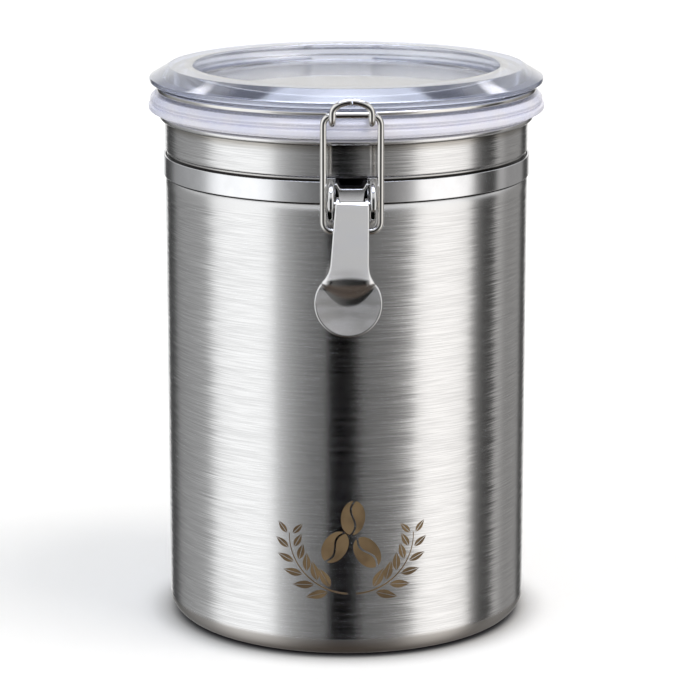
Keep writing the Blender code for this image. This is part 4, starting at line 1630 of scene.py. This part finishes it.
@dataclass
class ClampLever:
    """The spoon-shaped lever: a strip, a bend, a round finger plate and two side flanges."""

    pin: Vector
    crank: Vector
    finish: bpy.types.Material
    sheet: float = 1.0 * MM
    top_half: float = 5.25 * MM
    waist_half: float = 6.05 * MM
    top_rise: float = 0.9 * MM
    waist_drop: float = 19.8 * MM
    crease_drop: float = 24.5 * MM
    disc_radius: float = 10.6 * MM
    disc_drop: float = 30.6 * MM
    fillet: float = 7.0 * MM
    slack_lean: float = math.radians(2.4)
    front_gap: float = 1.0 * MM
    tilt: float = math.radians(14)
    bend_length: float = 4.2 * MM
    bend_smile: float = 2.4 * MM
    dish: float = 0.25 * MM
    top_corner: float = 0.6 * MM
    corner_steps: int = 6
    straight_steps: int = 40
    disc_step: float = math.radians(3)
    top_steps: int = 8
    columns: int = 44
    eye_wall: float = 0.9 * MM
    hole_clearance: float = 0.3 * MM
    pin_radius: float = 1.0 * MM
    wire_radius: float = 1.05 * MM
    flange_inset: float = 0.2 * MM
    flange_tail: float = 2.0 * MM
    flange_round: float = 0.2 * MM

    @property
    def web_y(self) -> float:
        """Place of the web's middle plane."""
        return self.pin.y - self.pin_radius - self.front_gap - self.sheet / 2

    def half_widths(self) -> list[Point2]:
        """Give the web's outline as (drop below the top, half width) pairs.

        Returns:
            The pairs, from the straight top edge to the bottom of the finger plate.
        """
        disc = self.top_rise + self.disc_drop
        waist = self.top_rise + self.waist_drop
        reach = self.disc_radius + self.fillet
        fillet_x = self.waist_half + self.fillet
        fillet_drop = disc - math.sqrt(reach ** 2 - fillet_x ** 2)
        meet = math.atan2(disc - fillet_drop, fillet_x)
        corner = self.top_corner
        pairs = []
        for step in range(self.corner_steps + 1):
            turn = QUARTER_TURN * step / self.corner_steps
            pairs.append((corner * (1 - math.cos(turn)), self.top_half - corner + corner * math.sin(turn)))
        for step in range(1, self.straight_steps + 1):
            drop = corner + (fillet_drop - corner) * (step / self.straight_steps)
            share = min(drop / waist, 1)
            pairs.append((drop, self.top_half + (self.waist_half - self.top_half) * share))
        for x, drop in arc((fillet_x, fillet_drop), self.fillet, HALF_TURN, HALF_TURN - meet)[1:]:
            pairs.append((drop, x))
        for x, z in arc((0, 0), self.disc_radius, meet, -QUARTER_TURN, self.disc_step)[1:]:
            pairs.append((disc - z, max(x, 0.0)))
        return pairs

    def bent(self, x: float, drop: float, out: float) -> Vector:
        """Place a point of the web.

        Args:
            x: Place across the web.
            drop: Length along the web from its top.
            out: Distance in front of the web's middle surface.

        Returns:
            The place in the frame.
        """
        top = self.pin.z + self.top_rise
        crease = self.top_rise + self.crease_drop - self.bend_smile * (x / self.disc_radius) ** 2
        start = crease - self.bend_length / 2
        radius = self.bend_length / self.tilt
        beyond = drop - start
        if beyond <= 0:
            turn, y, z = 0.0, 0.0, -drop
        else:
            turn = min(beyond / radius, self.tilt)
            y = -radius * (1 - math.cos(turn))
            z = -start - radius * math.sin(turn)
            rest = max(beyond - self.bend_length, 0)
            y -= rest * math.sin(turn)
            z -= rest * math.cos(turn)
        disc = self.top_rise + self.disc_drop
        away = math.hypot(x, drop - disc) / self.disc_radius
        y += self.dish * max(1 - away * away, 0)
        return Vector((x, self.web_y + y - out * math.cos(turn), top + z + out * math.sin(turn)))

    def build_web(self) -> bpy.types.Object:
        """Loft the web with rounded edges.

        Returns:
            The web.
        """
        pairs = self.half_widths()
        edge = [Vector((half, drop)) for drop, half in pairs]
        outline = [Vector((edge[0].x * step / self.top_steps, 0)) for step in range(self.top_steps + 1)]
        outline += edge
        half_sheet = self.sheet / 2

        def thickness_at(x: float, drop: float) -> float:
            """Give the half thickness of the web, which falls off at its rounded edge.

            Args:
                x: Place across the web.
                drop: Length along the web from its top.

            Returns:
                The half thickness.
            """
            here = Vector((abs(x), drop))
            nearest = 1.0
            for one, other in zip(outline, outline[1:]):
                way = other - one
                share = min(max((here - one).dot(way) / max(way.length_squared, TINY), 0), 1)
                nearest = min(nearest, (here - one - way * share).length)
            if nearest >= half_sheet:
                return half_sheet
            return math.sqrt(max(half_sheet ** 2 - (half_sheet - nearest) ** 2, 0))

        shares = [math.sin(QUARTER_TURN * (2 * i / self.columns - 1)) for i in range(self.columns + 1)]
        solid = bmesh.new()
        fronts, backs = [], []
        for drop, half in pairs:
            front, back = [], []
            for index, share in enumerate(shares):
                x = half * share
                out = thickness_at(x, drop)
                rim = index in (0, self.columns) or drop <= 0 or half <= 0
                vertex = solid.verts.new(self.bent(x, drop, 0 if rim else out))
                front.append(vertex)
                back.append(vertex if rim else solid.verts.new(self.bent(x, drop, -out)))
            fronts.append(front)
            backs.append(back)
        for rows in (fronts, backs):
            for one, other in zip(rows, rows[1:]):
                for index in range(self.columns):
                    corners = (one[index], one[index + 1], other[index + 1], other[index])
                    solid.faces.new(corners)
        bmesh.ops.remove_doubles(solid, verts=solid.verts, dist=MERGE_DISTANCE)
        return add_mesh("clamp_lever", solid)

    def build_flange(self, side: Side) -> bpy.types.Object:
        """Cut one side flange with its two eyes.

        Args:
            side: The side that it is on.

        Returns:
            The flange.
        """
        pin_hole = self.pin_radius + self.hole_clearance
        wire_hole = self.wire_radius + self.hole_clearance
        pin_eye, wire_eye = pin_hole + self.eye_wall, wire_hole + self.eye_wall
        tail = self.crank.z - wire_eye - self.flange_tail
        web = self.web_y
        outline = [(web, self.pin.z)]
        outline += arc((self.pin.y, self.pin.z), pin_eye, HALF_TURN, 0)
        outline += arc((self.crank.y, self.crank.z), wire_eye, 0, -QUARTER_TURN)
        outline.append((web, tail))
        holes = [arc((self.pin.y, self.pin.z), pin_hole, 0, FULL_TURN)[:-1],
                 arc((self.crank.y, self.crank.z), wire_hole, 0, FULL_TURN)[:-1]]
        item = plate("flange", [outline, *holes], self.sheet, self.flange_round)
        middle = self.top_half - self.flange_inset - self.sheet / 2
        reshape(item, lambda point: Vector((side.value * (middle + point.z), point.x, point.y)))
        return item

    def build(self) -> bpy.types.Object:
        """Join web and flanges, and dress the lever.

        Returns:
            The lever.
        """
        lever = self.build_web()
        unite(lever, [self.build_flange(side) for side in Side])
        lean = (Matrix.Translation(self.pin) @ Matrix.Rotation(self.slack_lean, 4, "Y")
                @ Matrix.Translation(-self.pin))
        lever.data.transform(lean)
        return settle(lever, self.finish, Body.LEVER, Slot.LEVER, "lever")


@dataclass
class ClearCover:
    """The clear moulded lid: bevelled ring, recessed middle and plug."""

    box: Box
    gasket: Box
    can: Box
    pin: Vector
    finish: bpy.types.Material
    seat_gap: float = 0.3 * MM
    neck_radius: float = 60.2 * MM
    lip_overhang: float = 0.6 * MM
    groove_height: float = 3.2 * MM
    lip_height: float = 1.7 * MM
    bevel_run: float = 5.75 * MM
    ring_width: float = 8.0 * MM
    recess_depth: float = 5.6 * MM
    recess_draft: float = 0.8 * MM
    floor: float = 2.5 * MM
    plug_radius: float = 57.4 * MM
    plug_wall: float = 1.4 * MM
    swing_clearance: float = 0.6 * MM
    swing_steps: int = 10
    bead: float = 1.3 * MM
    edge_round: float = 0.5 * MM

    def plug_radius_at(self, height: float) -> float:
        """Radius of the plug at a height, as its swing past the rim allows.

        Args:
            height: The height above the can's base.

        Returns:
            The radius.
        """
        bead_y = self.can.radius - self.bead
        bead_z = self.can.high.z - self.bead
        reach = math.hypot(self.pin.y - bead_y, bead_z - self.pin.z) + self.bead + self.swing_clearance
        return self.pin.y - math.sqrt(reach ** 2 - (height - self.pin.z) ** 2)

    def profile(self) -> list[Point2]:
        """Profile out over the top, down to the plug and back inside.

        Returns:
            The points, from the middle of the recess to the middle of the underside.
        """
        top, foot, lip = self.box.high.z, self.box.low.z, self.box.radius + self.lip_overhang
        seat = self.gasket.high.z + self.seat_gap
        lip_low = seat + self.groove_height
        lip_high = lip_low + self.lip_height
        top_radius = self.box.radius - self.bevel_run
        window = top_radius - self.ring_width
        floor_top = top - self.recess_depth
        floor_under = floor_top - self.floor
        fine = self.edge_round
        swing_top = self.can.high.z - fine
        corners = [
            (0, floor_top, 0),
            (window - self.recess_draft, floor_top, fine * 1.6),
            (window, top, fine * 1.2),
            (top_radius, top, fine * 1.6),
            (lip, lip_high, fine * 1.1),
            (lip, lip_low, fine * 1.9),
            (self.neck_radius, lip_low, fine * 0.5),
            (self.neck_radius, seat, fine * 0.5),
            (self.plug_radius, seat, fine * 0.5),
            (self.plug_radius, swing_top, 0),
        ]
        for step in range(self.swing_steps + 1):
            height = swing_top + (foot + fine - swing_top) * step / self.swing_steps
            radius = self.plug_radius_at(height)
            if radius < self.plug_radius:
                corners.append((radius, height, 0))
        foot_radius = self.plug_radius_at(foot)
        corners += [
            (foot_radius, foot, fine * 0.8),
            (foot_radius - self.plug_wall, foot, fine * 0.8),
            (foot_radius - self.plug_wall - self.recess_draft, floor_under, fine * 1.6),
            (0, floor_under, 0),
        ]
        return filleted(corners)

    def build(self) -> bpy.types.Object:
        """Turn the cover and dress it."""
        cover = turned("clear_cover", self.profile())
        return settle(cover, self.finish, Body.LID, Slot.COVER, "lid_shell")


@dataclass
class SealRing:
    """The sealing ring: an upper roll with fine ribs and a fuller lower roll."""

    box: Box
    plug_radius: float
    finish: bpy.types.Material
    seat_gap: float = 0.3 * MM
    upper_inset: float = 0.6 * MM
    split_share: float = 0.52
    nip: float = 0.5 * MM
    chamfer: float = 1.3 * MM
    foot_chamfer: float = 2.6 * MM
    rib_count: int = 3
    rib_depth: float = 0.22 * MM
    rib_round: float = 0.3 * MM
    inner_round: float = 0.3 * MM
    roll_round: float = 0.5 * MM
    nip_round: float = 0.12 * MM
    belly_round: float = 0.45 * MM
    skirt_round: float = 0.8 * MM
    foot_round: float = 0.4 * MM

    def build(self) -> bpy.types.Object:
        """Turn the ring and dress it.

        Returns:
            The ring.
        """
        low, high, outer = self.box.low.z, self.box.high.z, self.box.radius
        upper = outer - self.upper_inset
        split = low + (high - low) * self.split_share
        inner = self.plug_radius + self.seat_gap
        rib_top, rib_low = high - self.chamfer, split + self.nip
        corners = [
            (inner, high, self.inner_round),
            (upper - self.chamfer, high, self.roll_round),
            (upper, rib_top, self.roll_round),
        ]
        pitch = (rib_top - rib_low) / (self.rib_count + 1)
        for index in range(1, self.rib_count):
            middle = rib_top - pitch * (index + 0.5)
            corners += [
                (upper, middle + pitch / 5, 0), (upper - self.rib_depth, middle, 0),
                (upper, middle - pitch / 5, 0),
            ]
        corners += [
            (upper, rib_low, self.rib_round),
            (upper - self.nip, split, self.nip_round),
            (outer, split - self.nip, self.belly_round),
            (outer, low + self.chamfer, self.skirt_round),
            (outer - self.foot_chamfer, low, self.foot_round),
            (inner, low, self.inner_round),
        ]
        ring = turned("seal_ring", filleted(corners, closed=True), closed=True)
        return settle(ring, self.finish, Body.LID, Slot.SEAL, "gasket")


@dataclass
class EtchedSprig:
    """A generic etched mark: three beans between two leafy twigs."""

    can_radius: float
    finish: bpy.types.Material
    middle: Point2 = (0.2 * MM, 41.0 * MM)
    proud: float = 0.05 * MM
    sheet: float = 0.03 * MM
    bean_length: float = 11.4 * MM
    bean_width: float = 7.8 * MM
    slit: float = 0.7 * MM
    seam_share: float = 0.96
    seam_wave: float = 0.13
    bean_steps: int = 28
    seam_steps: int = 22
    beans: tuple[tuple[float, float, float], ...] = (
        (-5.4 * MM, -3.4 * MM, math.radians(58)),
        (5.0 * MM, -5.2 * MM, math.radians(124)),
        (0.4 * MM, 6.4 * MM, math.radians(84)),
    )
    twig_radius: float = 20.5 * MM
    twig_width: float = 0.55 * MM
    twig_start: float = math.radians(-86)
    twig_end: float = math.radians(2)
    twig_step: float = math.radians(3)
    twig_taper: float = 0.6
    flatness: float = 0.94
    leaf_length: float = 7.4 * MM
    leaf_width: float = 3.0 * MM
    leaf_fullness: float = 0.8
    leaf_edge: float = 0.14 * MM
    leaf_steps: int = 16
    leaf_sides: tuple[Point2, ...] = ((math.radians(38), 0.75 * MM), (math.radians(-40), -1.35 * MM))
    leaf_shrink: float = 0.07
    rib_half: float = 0.11 * MM
    leaves: int = 6
    first_leaf: float = 0.20
    cut: float = 1.0 * MM

    def moved(self, outline: Sequence[Point2], x: float, z: float, turn: float) -> list[Point2]:
        """Turn an outline and move it to its place in the mark."""
        cosine, sine = math.cos(turn), math.sin(turn)
        return [(x + a * cosine - b * sine, z + a * sine + b * cosine) for a, b in outline]

    def bean(self, x: float, z: float, turn: float) -> list[list[Point2]]:
        """Two halves of a bean, with a wavy gap between them.

        Args:
            x: Place of its middle to the right.
            z: Place of its middle in height.
            turn: Angle of its length.

        Returns:
            The two outlines.
        """
        halves = []
        half_length, half_width = self.bean_length / 2, self.bean_width / 2
        for side in (1, -1):
            rim = [(half_length * math.cos(a), side * half_width * math.sin(a))
                   for a in (HALF_TURN * i / self.bean_steps for i in range(1, self.bean_steps))]
            seam = []
            for index in range(1, self.seam_steps):
                along = (-half_length * self.seam_share
                         + 2 * half_length * self.seam_share * index / self.seam_steps)
                wave = self.seam_wave * half_width * 2 * math.sin(HALF_TURN * along / half_length)
                seam.append((along, wave + side * self.slit / 2))
            halves.append(self.moved(rim + seam, x, z, turn))
        return halves

    def leaf(self, x: float, z: float, turn: float, size: float) -> list[list[Point2]]:
        """Two blades of a leaf, with its rib left bare between them.

        Args:
            x: Place of its foot to the right.
            z: Place of its foot in height.
            turn: Angle of its length.
            size: Its size as a share of the largest leaf.

        Returns:
            The two outlines.
        """
        blades = []
        for side in (1, -1):
            outer, rib = [], []
            for index in range(self.leaf_steps + 1):
                share = index / self.leaf_steps
                along = self.leaf_length * size * share
                swell = math.sin(HALF_TURN * share ** self.leaf_fullness) * self.leaf_width * size / 2
                outer.append((along, side * max(swell, self.leaf_edge)))
                rib.append((along, side * self.rib_half))
            blades.append(self.moved(outer + rib[::-1], x, z, turn))
        return blades

    def twig(self, side: Side) -> list[list[Point2]]:
        """One twig with its leaves, rising from the foot of the mark.

        Args:
            side: The side that it is on.

        Returns:
            The outlines.
        """
        start, end = self.twig_start, self.twig_end
        outer = arc((0, 0), self.twig_radius, start, end, self.twig_step)
        inner = []
        for index, (x, z) in enumerate(outer):
            thinned = 1 - self.twig_taper * index / (len(outer) - 1)
            taper = 1 - self.twig_width / self.twig_radius * thinned
            inner.append((x * taper, z * taper))
        shapes = [outer + inner[::-1]]
        for index in range(self.leaves):
            share = self.first_leaf + (1 - self.first_leaf) * index / (self.leaves - 1)
            angle, size = start + (end - start) * share, 1.0 - self.leaf_shrink * index
            for lean, away in self.leaf_sides:
                reach, heading = self.twig_radius + away, angle + QUARTER_TURN - lean
                shapes += self.leaf(reach * math.cos(angle), reach * math.sin(angle), heading, size)
        return [[(side.value * x, z * self.flatness) for x, z in shape] for shape in shapes]

    def build(self) -> bpy.types.Object:
        """Cut the shapes, wrap them round the can and dress the mark.

        Returns:
            The mark.
        """
        shapes = self.twig(Side.RIGHT) + self.twig(Side.LEFT)
        for x, z, turn in self.beans:
            shapes += self.bean(x, z, turn)
        joined = bmesh.new()
        for shape in shapes:
            xs = [x for x, _ in shape]
            cuts = [(Axis.X, spread(min(xs), max(xs), self.cut))]
            piece = plate("etched_shape", [shape], self.sheet, 0, cuts)
            joined.from_mesh(piece.data)
            bpy.data.objects.remove(piece, do_unlink=True)
        mark = add_mesh("etched_sprig", joined)
        radius = self.can_radius + self.proud - self.sheet / 2
        across, up = self.middle
        reshape(mark, lambda point: wrapped(point.x + across, point.y + up, point.z, radius))
        return settle(mark, self.finish, Body.CAN, Slot.WALL)


# What stands round the object, as levels of light by direction from the latch side in degrees: a soft box on
# each side, black flags between and behind them, grey walls and a back light
SURROUND_LEVELS = (
    (-180, 0.6), (-165, 0.6), (-158, 0.05), (-150, 0.05), (-135, 0.2), (-105, 0.3), (-85, 0.8), (-60, 0.85),
    (-45, 0.45), (-25, 0.15), (-15, 0.1), (-10, 0), (0, 0), (10, 0.1), (25, 0.15), (40, 0.4), (55, 0.85),
    (75, 0.8), (85, 0.35), (92, 0.1), (98, 0.05), (103, 0.05), (111, 0.3), (120, 0.2), (140, 0.2),
    (148, 0.05), (155, 0.05), (165, 0.6), (180, 0.6),
)


@dataclass(frozen=True)
class Lamp:
    """A square soft light: where it hangs, the width of its face in metres, its watts and its colour."""

    name: str
    place: Point3
    size: float
    power: float
    colour: Colour


@dataclass(frozen=True)
class SkyBand:
    """A change of the surroundings to another colour, from one elevation in degrees to a higher one."""

    start: float
    end: float
    colour: Colour
    share: float = 1.0

    @property
    def heights(self) -> Point2:
        """Z of a direction at each end of the band."""
        return math.sin(math.radians(self.start)), math.sin(math.radians(self.end))


@dataclass
class Studio:
    """Plain floor, soft light, the surroundings that the steel mirrors, and the camera."""

    distance: float = 1.0002
    height: float = 0.3209
    pitch: float = math.radians(12.87)
    around: float = math.radians(1.45)
    focal_pixels: float = 3050.0
    image_pixels: float = 679.0
    axis_pixels: float = 6.9
    sensor: float = 36.0
    floor_size: float = 30.0
    floor_colour: Colour = (0.95, 0.95, 0.95)
    floor_roughness: float = 0.9
    floor_lift: float = 0.06
    far_lift: float = 0.30
    lift_span: Point2 = (0.09, 0.6)
    contact_shadow_colour: Colour = (0.06, 0.06, 0.07)
    contact_reach: float = 16 * MM
    contact_span: Point2 = (0.02, 0.95)
    contact_samples: int = 16
    clip: Point2 = (0.01, 100)
    world_strength: float = 0.80
    surround_radius: float = 8.0
    surround_fineness: int = 4
    surround_strength: float = 1.6
    cool_tint: Colour = (0.985, 1.0, 1.012)
    warm_tint: Colour = (1.015, 1.0, 0.985)
    tint_span: Point2 = (-0.8, 0.8)
    sky: tuple[SkyBand, ...] = (
        SkyBand(9, 26, (0.85, 0.86, 0.88), 0.52),
        SkyBand(46, 54, (0.010, 0.016, 0.040)),
        SkyBand(59, 62, (2.4, 2.6, 3.2)),
        SkyBand(66, 74, (4.4, 4.7, 5.6)),
    )
    ground: SkyBand = SkyBand(-84, -28, (0.07, 0.055, 0.045))
    spots: tuple[Point3, ...] = ((0.44, 0.64, 0.63), (-0.42, 0.64, 0.64))
    spot_colour: Colour = (3.0, 3.0, 3.2)
    spot_edge: Point2 = (math.radians(5.0), math.radians(2.0))
    lamps: tuple[Lamp, ...] = (
        Lamp("key", (-1.2, -0.8, 1.6), 1.0, 4, (0.80, 0.90, 1.0)),
        Lamp("fill", (0.9, -0.5, 2.2), 0.9, 18, (1.0, 0.95, 0.88)),
    )
    lamp_aim: Point3 = (0, 0, 0.1)

    def build_camera(self) -> None:
        """Place the camera at the photograph's viewing angle."""
        data = bpy.data.cameras.new("camera")
        data.sensor_width = self.sensor
        data.lens = self.focal_pixels / self.image_pixels * self.sensor
        data.shift_x = -self.axis_pixels / self.image_pixels
        data.clip_start, data.clip_end = self.clip
        camera = bpy.data.objects.new("camera", data)
        camera.location = (-self.distance * math.sin(self.around), -self.distance * math.cos(self.around),
                           self.height)
        camera.rotation_euler = (QUARTER_TURN - self.pitch, 0, -self.around)
        bpy.context.scene.collection.objects.link(camera)
        bpy.context.scene.camera = camera

    def build_world(self) -> None:
        """Light the scene evenly from all sides, and show plain white behind it."""
        world = bpy.data.worlds.new("studio")
        bpy.context.scene.world = world
        world.use_nodes = True
        graph = Graph(world.node_tree)
        path = graph.node("LightPath").outputs
        seen = graph.math("MAXIMUM", path["Is Camera Ray"], path["Is Glossy Ray"])
        seen = graph.math("MAXIMUM", seen, path["Is Transmission Ray"])
        strength = graph.math("MULTIPLY_ADD", seen, 1.0 - self.world_strength, self.world_strength)
        light = graph.node("Background", {"Color": (1.0, 1.0, 1.0, 1), "Strength": strength})
        graph.node("OutputWorld", {"Surface": light.outputs[0]})

    def build_floor(self) -> None:
        """Lay the pale floor, with a painted contact shadow near the object, lifted towards white for the
        camera further away.
        """
        material, graph, place = new_finish("floor")
        seen = graph.node("LightPath").outputs["Is Camera Ray"]
        # Painted contact shadow: the floor's colour darkens where ambient occlusion finds the object close
        contact = graph.node("AmbientOcclusion", {"Distance": self.contact_reach},
                             samples=self.contact_samples)
        openness = graph.between(contact.outputs["AO"], *self.contact_span)
        away = graph.vector("LENGTH", place, result="Value")
        lift = graph.between(away, *self.lift_span, self.floor_lift, self.far_lift)
        close_finish(graph, {
            "Base Color": graph.mix(openness, self.contact_shadow_colour, self.floor_colour),
            "Roughness": self.floor_roughness,
            "Specular IOR Level": 0.0,
            "Emission Color": (1, 1, 1, 1),
            "Emission Strength": graph.product(seen, lift, openness),
        })
        half = self.floor_size / 2
        solid = bmesh.new()
        corners = [solid.verts.new((x, y, 0)) for x, y in
                   ((-half, -half), (half, -half), (half, half), (-half, half))]
        solid.faces.new(corners)
        floor = add_mesh("floor", solid)
        floor.data.materials.append(material)
        floor.visible_glossy = False

    def build_surround(self) -> None:
        """Stand the soft boxes and dark flags round the object, where only reflections show them."""
        material, graph, place = new_finish("surround")
        way = graph.vector("NORMALIZE", place)
        axes = graph.split(way)
        turn = graph.math("ARCTAN2", axes["X"], graph.product(axes["Y"], -1.0))
        share = graph.math("MULTIPLY_ADD", turn, 1 / FULL_TURN, 0.5)
        level = graph.curve(share, [(degrees / 360 + 0.5, level) for degrees, level in SURROUND_LEVELS])
        tint = graph.mix(graph.between(axes["X"], *self.tint_span), self.cool_tint, self.warm_tint)
        colour = graph.vector("MULTIPLY", tint, graph.grey(level))
        for band in self.sky:
            share = graph.between(axes["Z"], *band.heights, 0.0, band.share)
            colour = graph.mix(share, colour, band.colour)
        outer, inner = self.spot_edge
        for spot in self.spots:
            near = graph.vector("DOT_PRODUCT", way, tuple(Vector(spot).normalized()), result="Value")
            colour = graph.mix(graph.between(near, math.cos(outer), math.cos(inner)), colour,
                               self.spot_colour)
        above = graph.between(axes["Z"], *self.ground.heights)
        colour = graph.mix(above, self.ground.colour, colour)
        light = graph.node("Emission", {"Color": colour, "Strength": self.surround_strength})
        graph.node("OutputMaterial", {"Surface": light.outputs[0]})
        material.cycles.emission_sampling = "NONE"
        solid = bmesh.new()
        bmesh.ops.create_icosphere(solid, subdivisions=self.surround_fineness,
                                   radius=self.surround_radius)
        dome = add_mesh("surround", solid)
        dome.data.materials.append(material)
        dome.visible_camera = False
        dome.visible_diffuse = False
        dome.visible_transmission = False
        dome.visible_volume_scatter = False
        dome.visible_shadow = False

    def build_light(self, lamp: Lamp) -> None:
        """Hang one soft light that faces the object.

        Args:
            lamp: What light it is.
        """
        data = bpy.data.lights.new(lamp.name, "AREA")
        data.shape = "SQUARE"
        data.size = lamp.size
        data.energy = lamp.power
        data.color = lamp.colour
        light = bpy.data.objects.new(lamp.name, data)
        light.location = lamp.place
        way = Vector(self.lamp_aim) - Vector(lamp.place)
        light.rotation_euler = way.to_track_quat("-Z", "Y").to_euler()
        light.visible_glossy = False
        bpy.context.scene.collection.objects.link(light)

    def build(self) -> None:
        """Set up the whole studio."""
        bpy.context.scene.view_settings.view_transform = "Standard"
        self.build_camera()
        self.build_world()
        self.build_floor()
        self.build_surround()
        for lamp in self.lamps:
            self.build_light(lamp)
        log.info("studio: camera, world, floor, surround and two soft lights")


def main() -> None:
    """Build the pieces in order, then the studio."""
    logging.basicConfig(level=logging.INFO, format="%(message)s")
    can, strap, cover = Box.of("can_body"), Box.of("band_strap"), Box.of("lid_shell")
    gasket, bracket, bail = Box.of("gasket"), Box.of("latch_bracket"), Box.of("bail")
    pin, crank, hinge = joint_place("lever_pivot"), joint_place("bail_pivot"), joint_place("lid_hinge")
    keeper = Vector((0, bail.low.y + Bail.radius, bail.high.z - Bail.radius))

    brushed = BrushedSteel().make()
    polished = PlainSteel("polished_steel", colour=(0.74, 0.74, 0.75), roughness=0.12).make()
    drawn = PlainSteel("drawn_wire", colour=(0.66, 0.645, 0.62), roughness=0.09, grain=0.2 * MM).make()
    pressed = PressedSteel().make()
    window = WindowShadowPlace(strap.radius + LatchBracket.seat_gap + LatchBracket.sheet)
    stamped = PlainSteel("stamped_steel", colour=(0.70, 0.695, 0.69), roughness=0.16, window=window).make()
    clear, silicone, etched = ClearPlastic().make(), Silicone().make(), EtchedMark().make()

    SteelCan(can, strap, brushed).build()
    Strap(strap, polished).build()
    LatchBracket(bracket, strap.radius, pin, stamped).build()
    PivotPin(pin, drawn).build()
    HingePlate(Box.of("hinge_bracket"), strap.radius, hinge, polished).build()
    ClampLever(pin, crank, pressed).build()
    Bail(crank, keeper, drawn).build()
    HoopWire(ClearCover.neck_radius, gasket.radius, keeper, hinge, drawn).build()
    ClearCover(cover, gasket, can, hinge, clear).build()
    SealRing(gasket, ClearCover.plug_radius, silicone).build()
    EtchedSprig(SteelCan.wall_radius, etched).build()
    Studio().build()


if __name__ == "__main__":
    main()
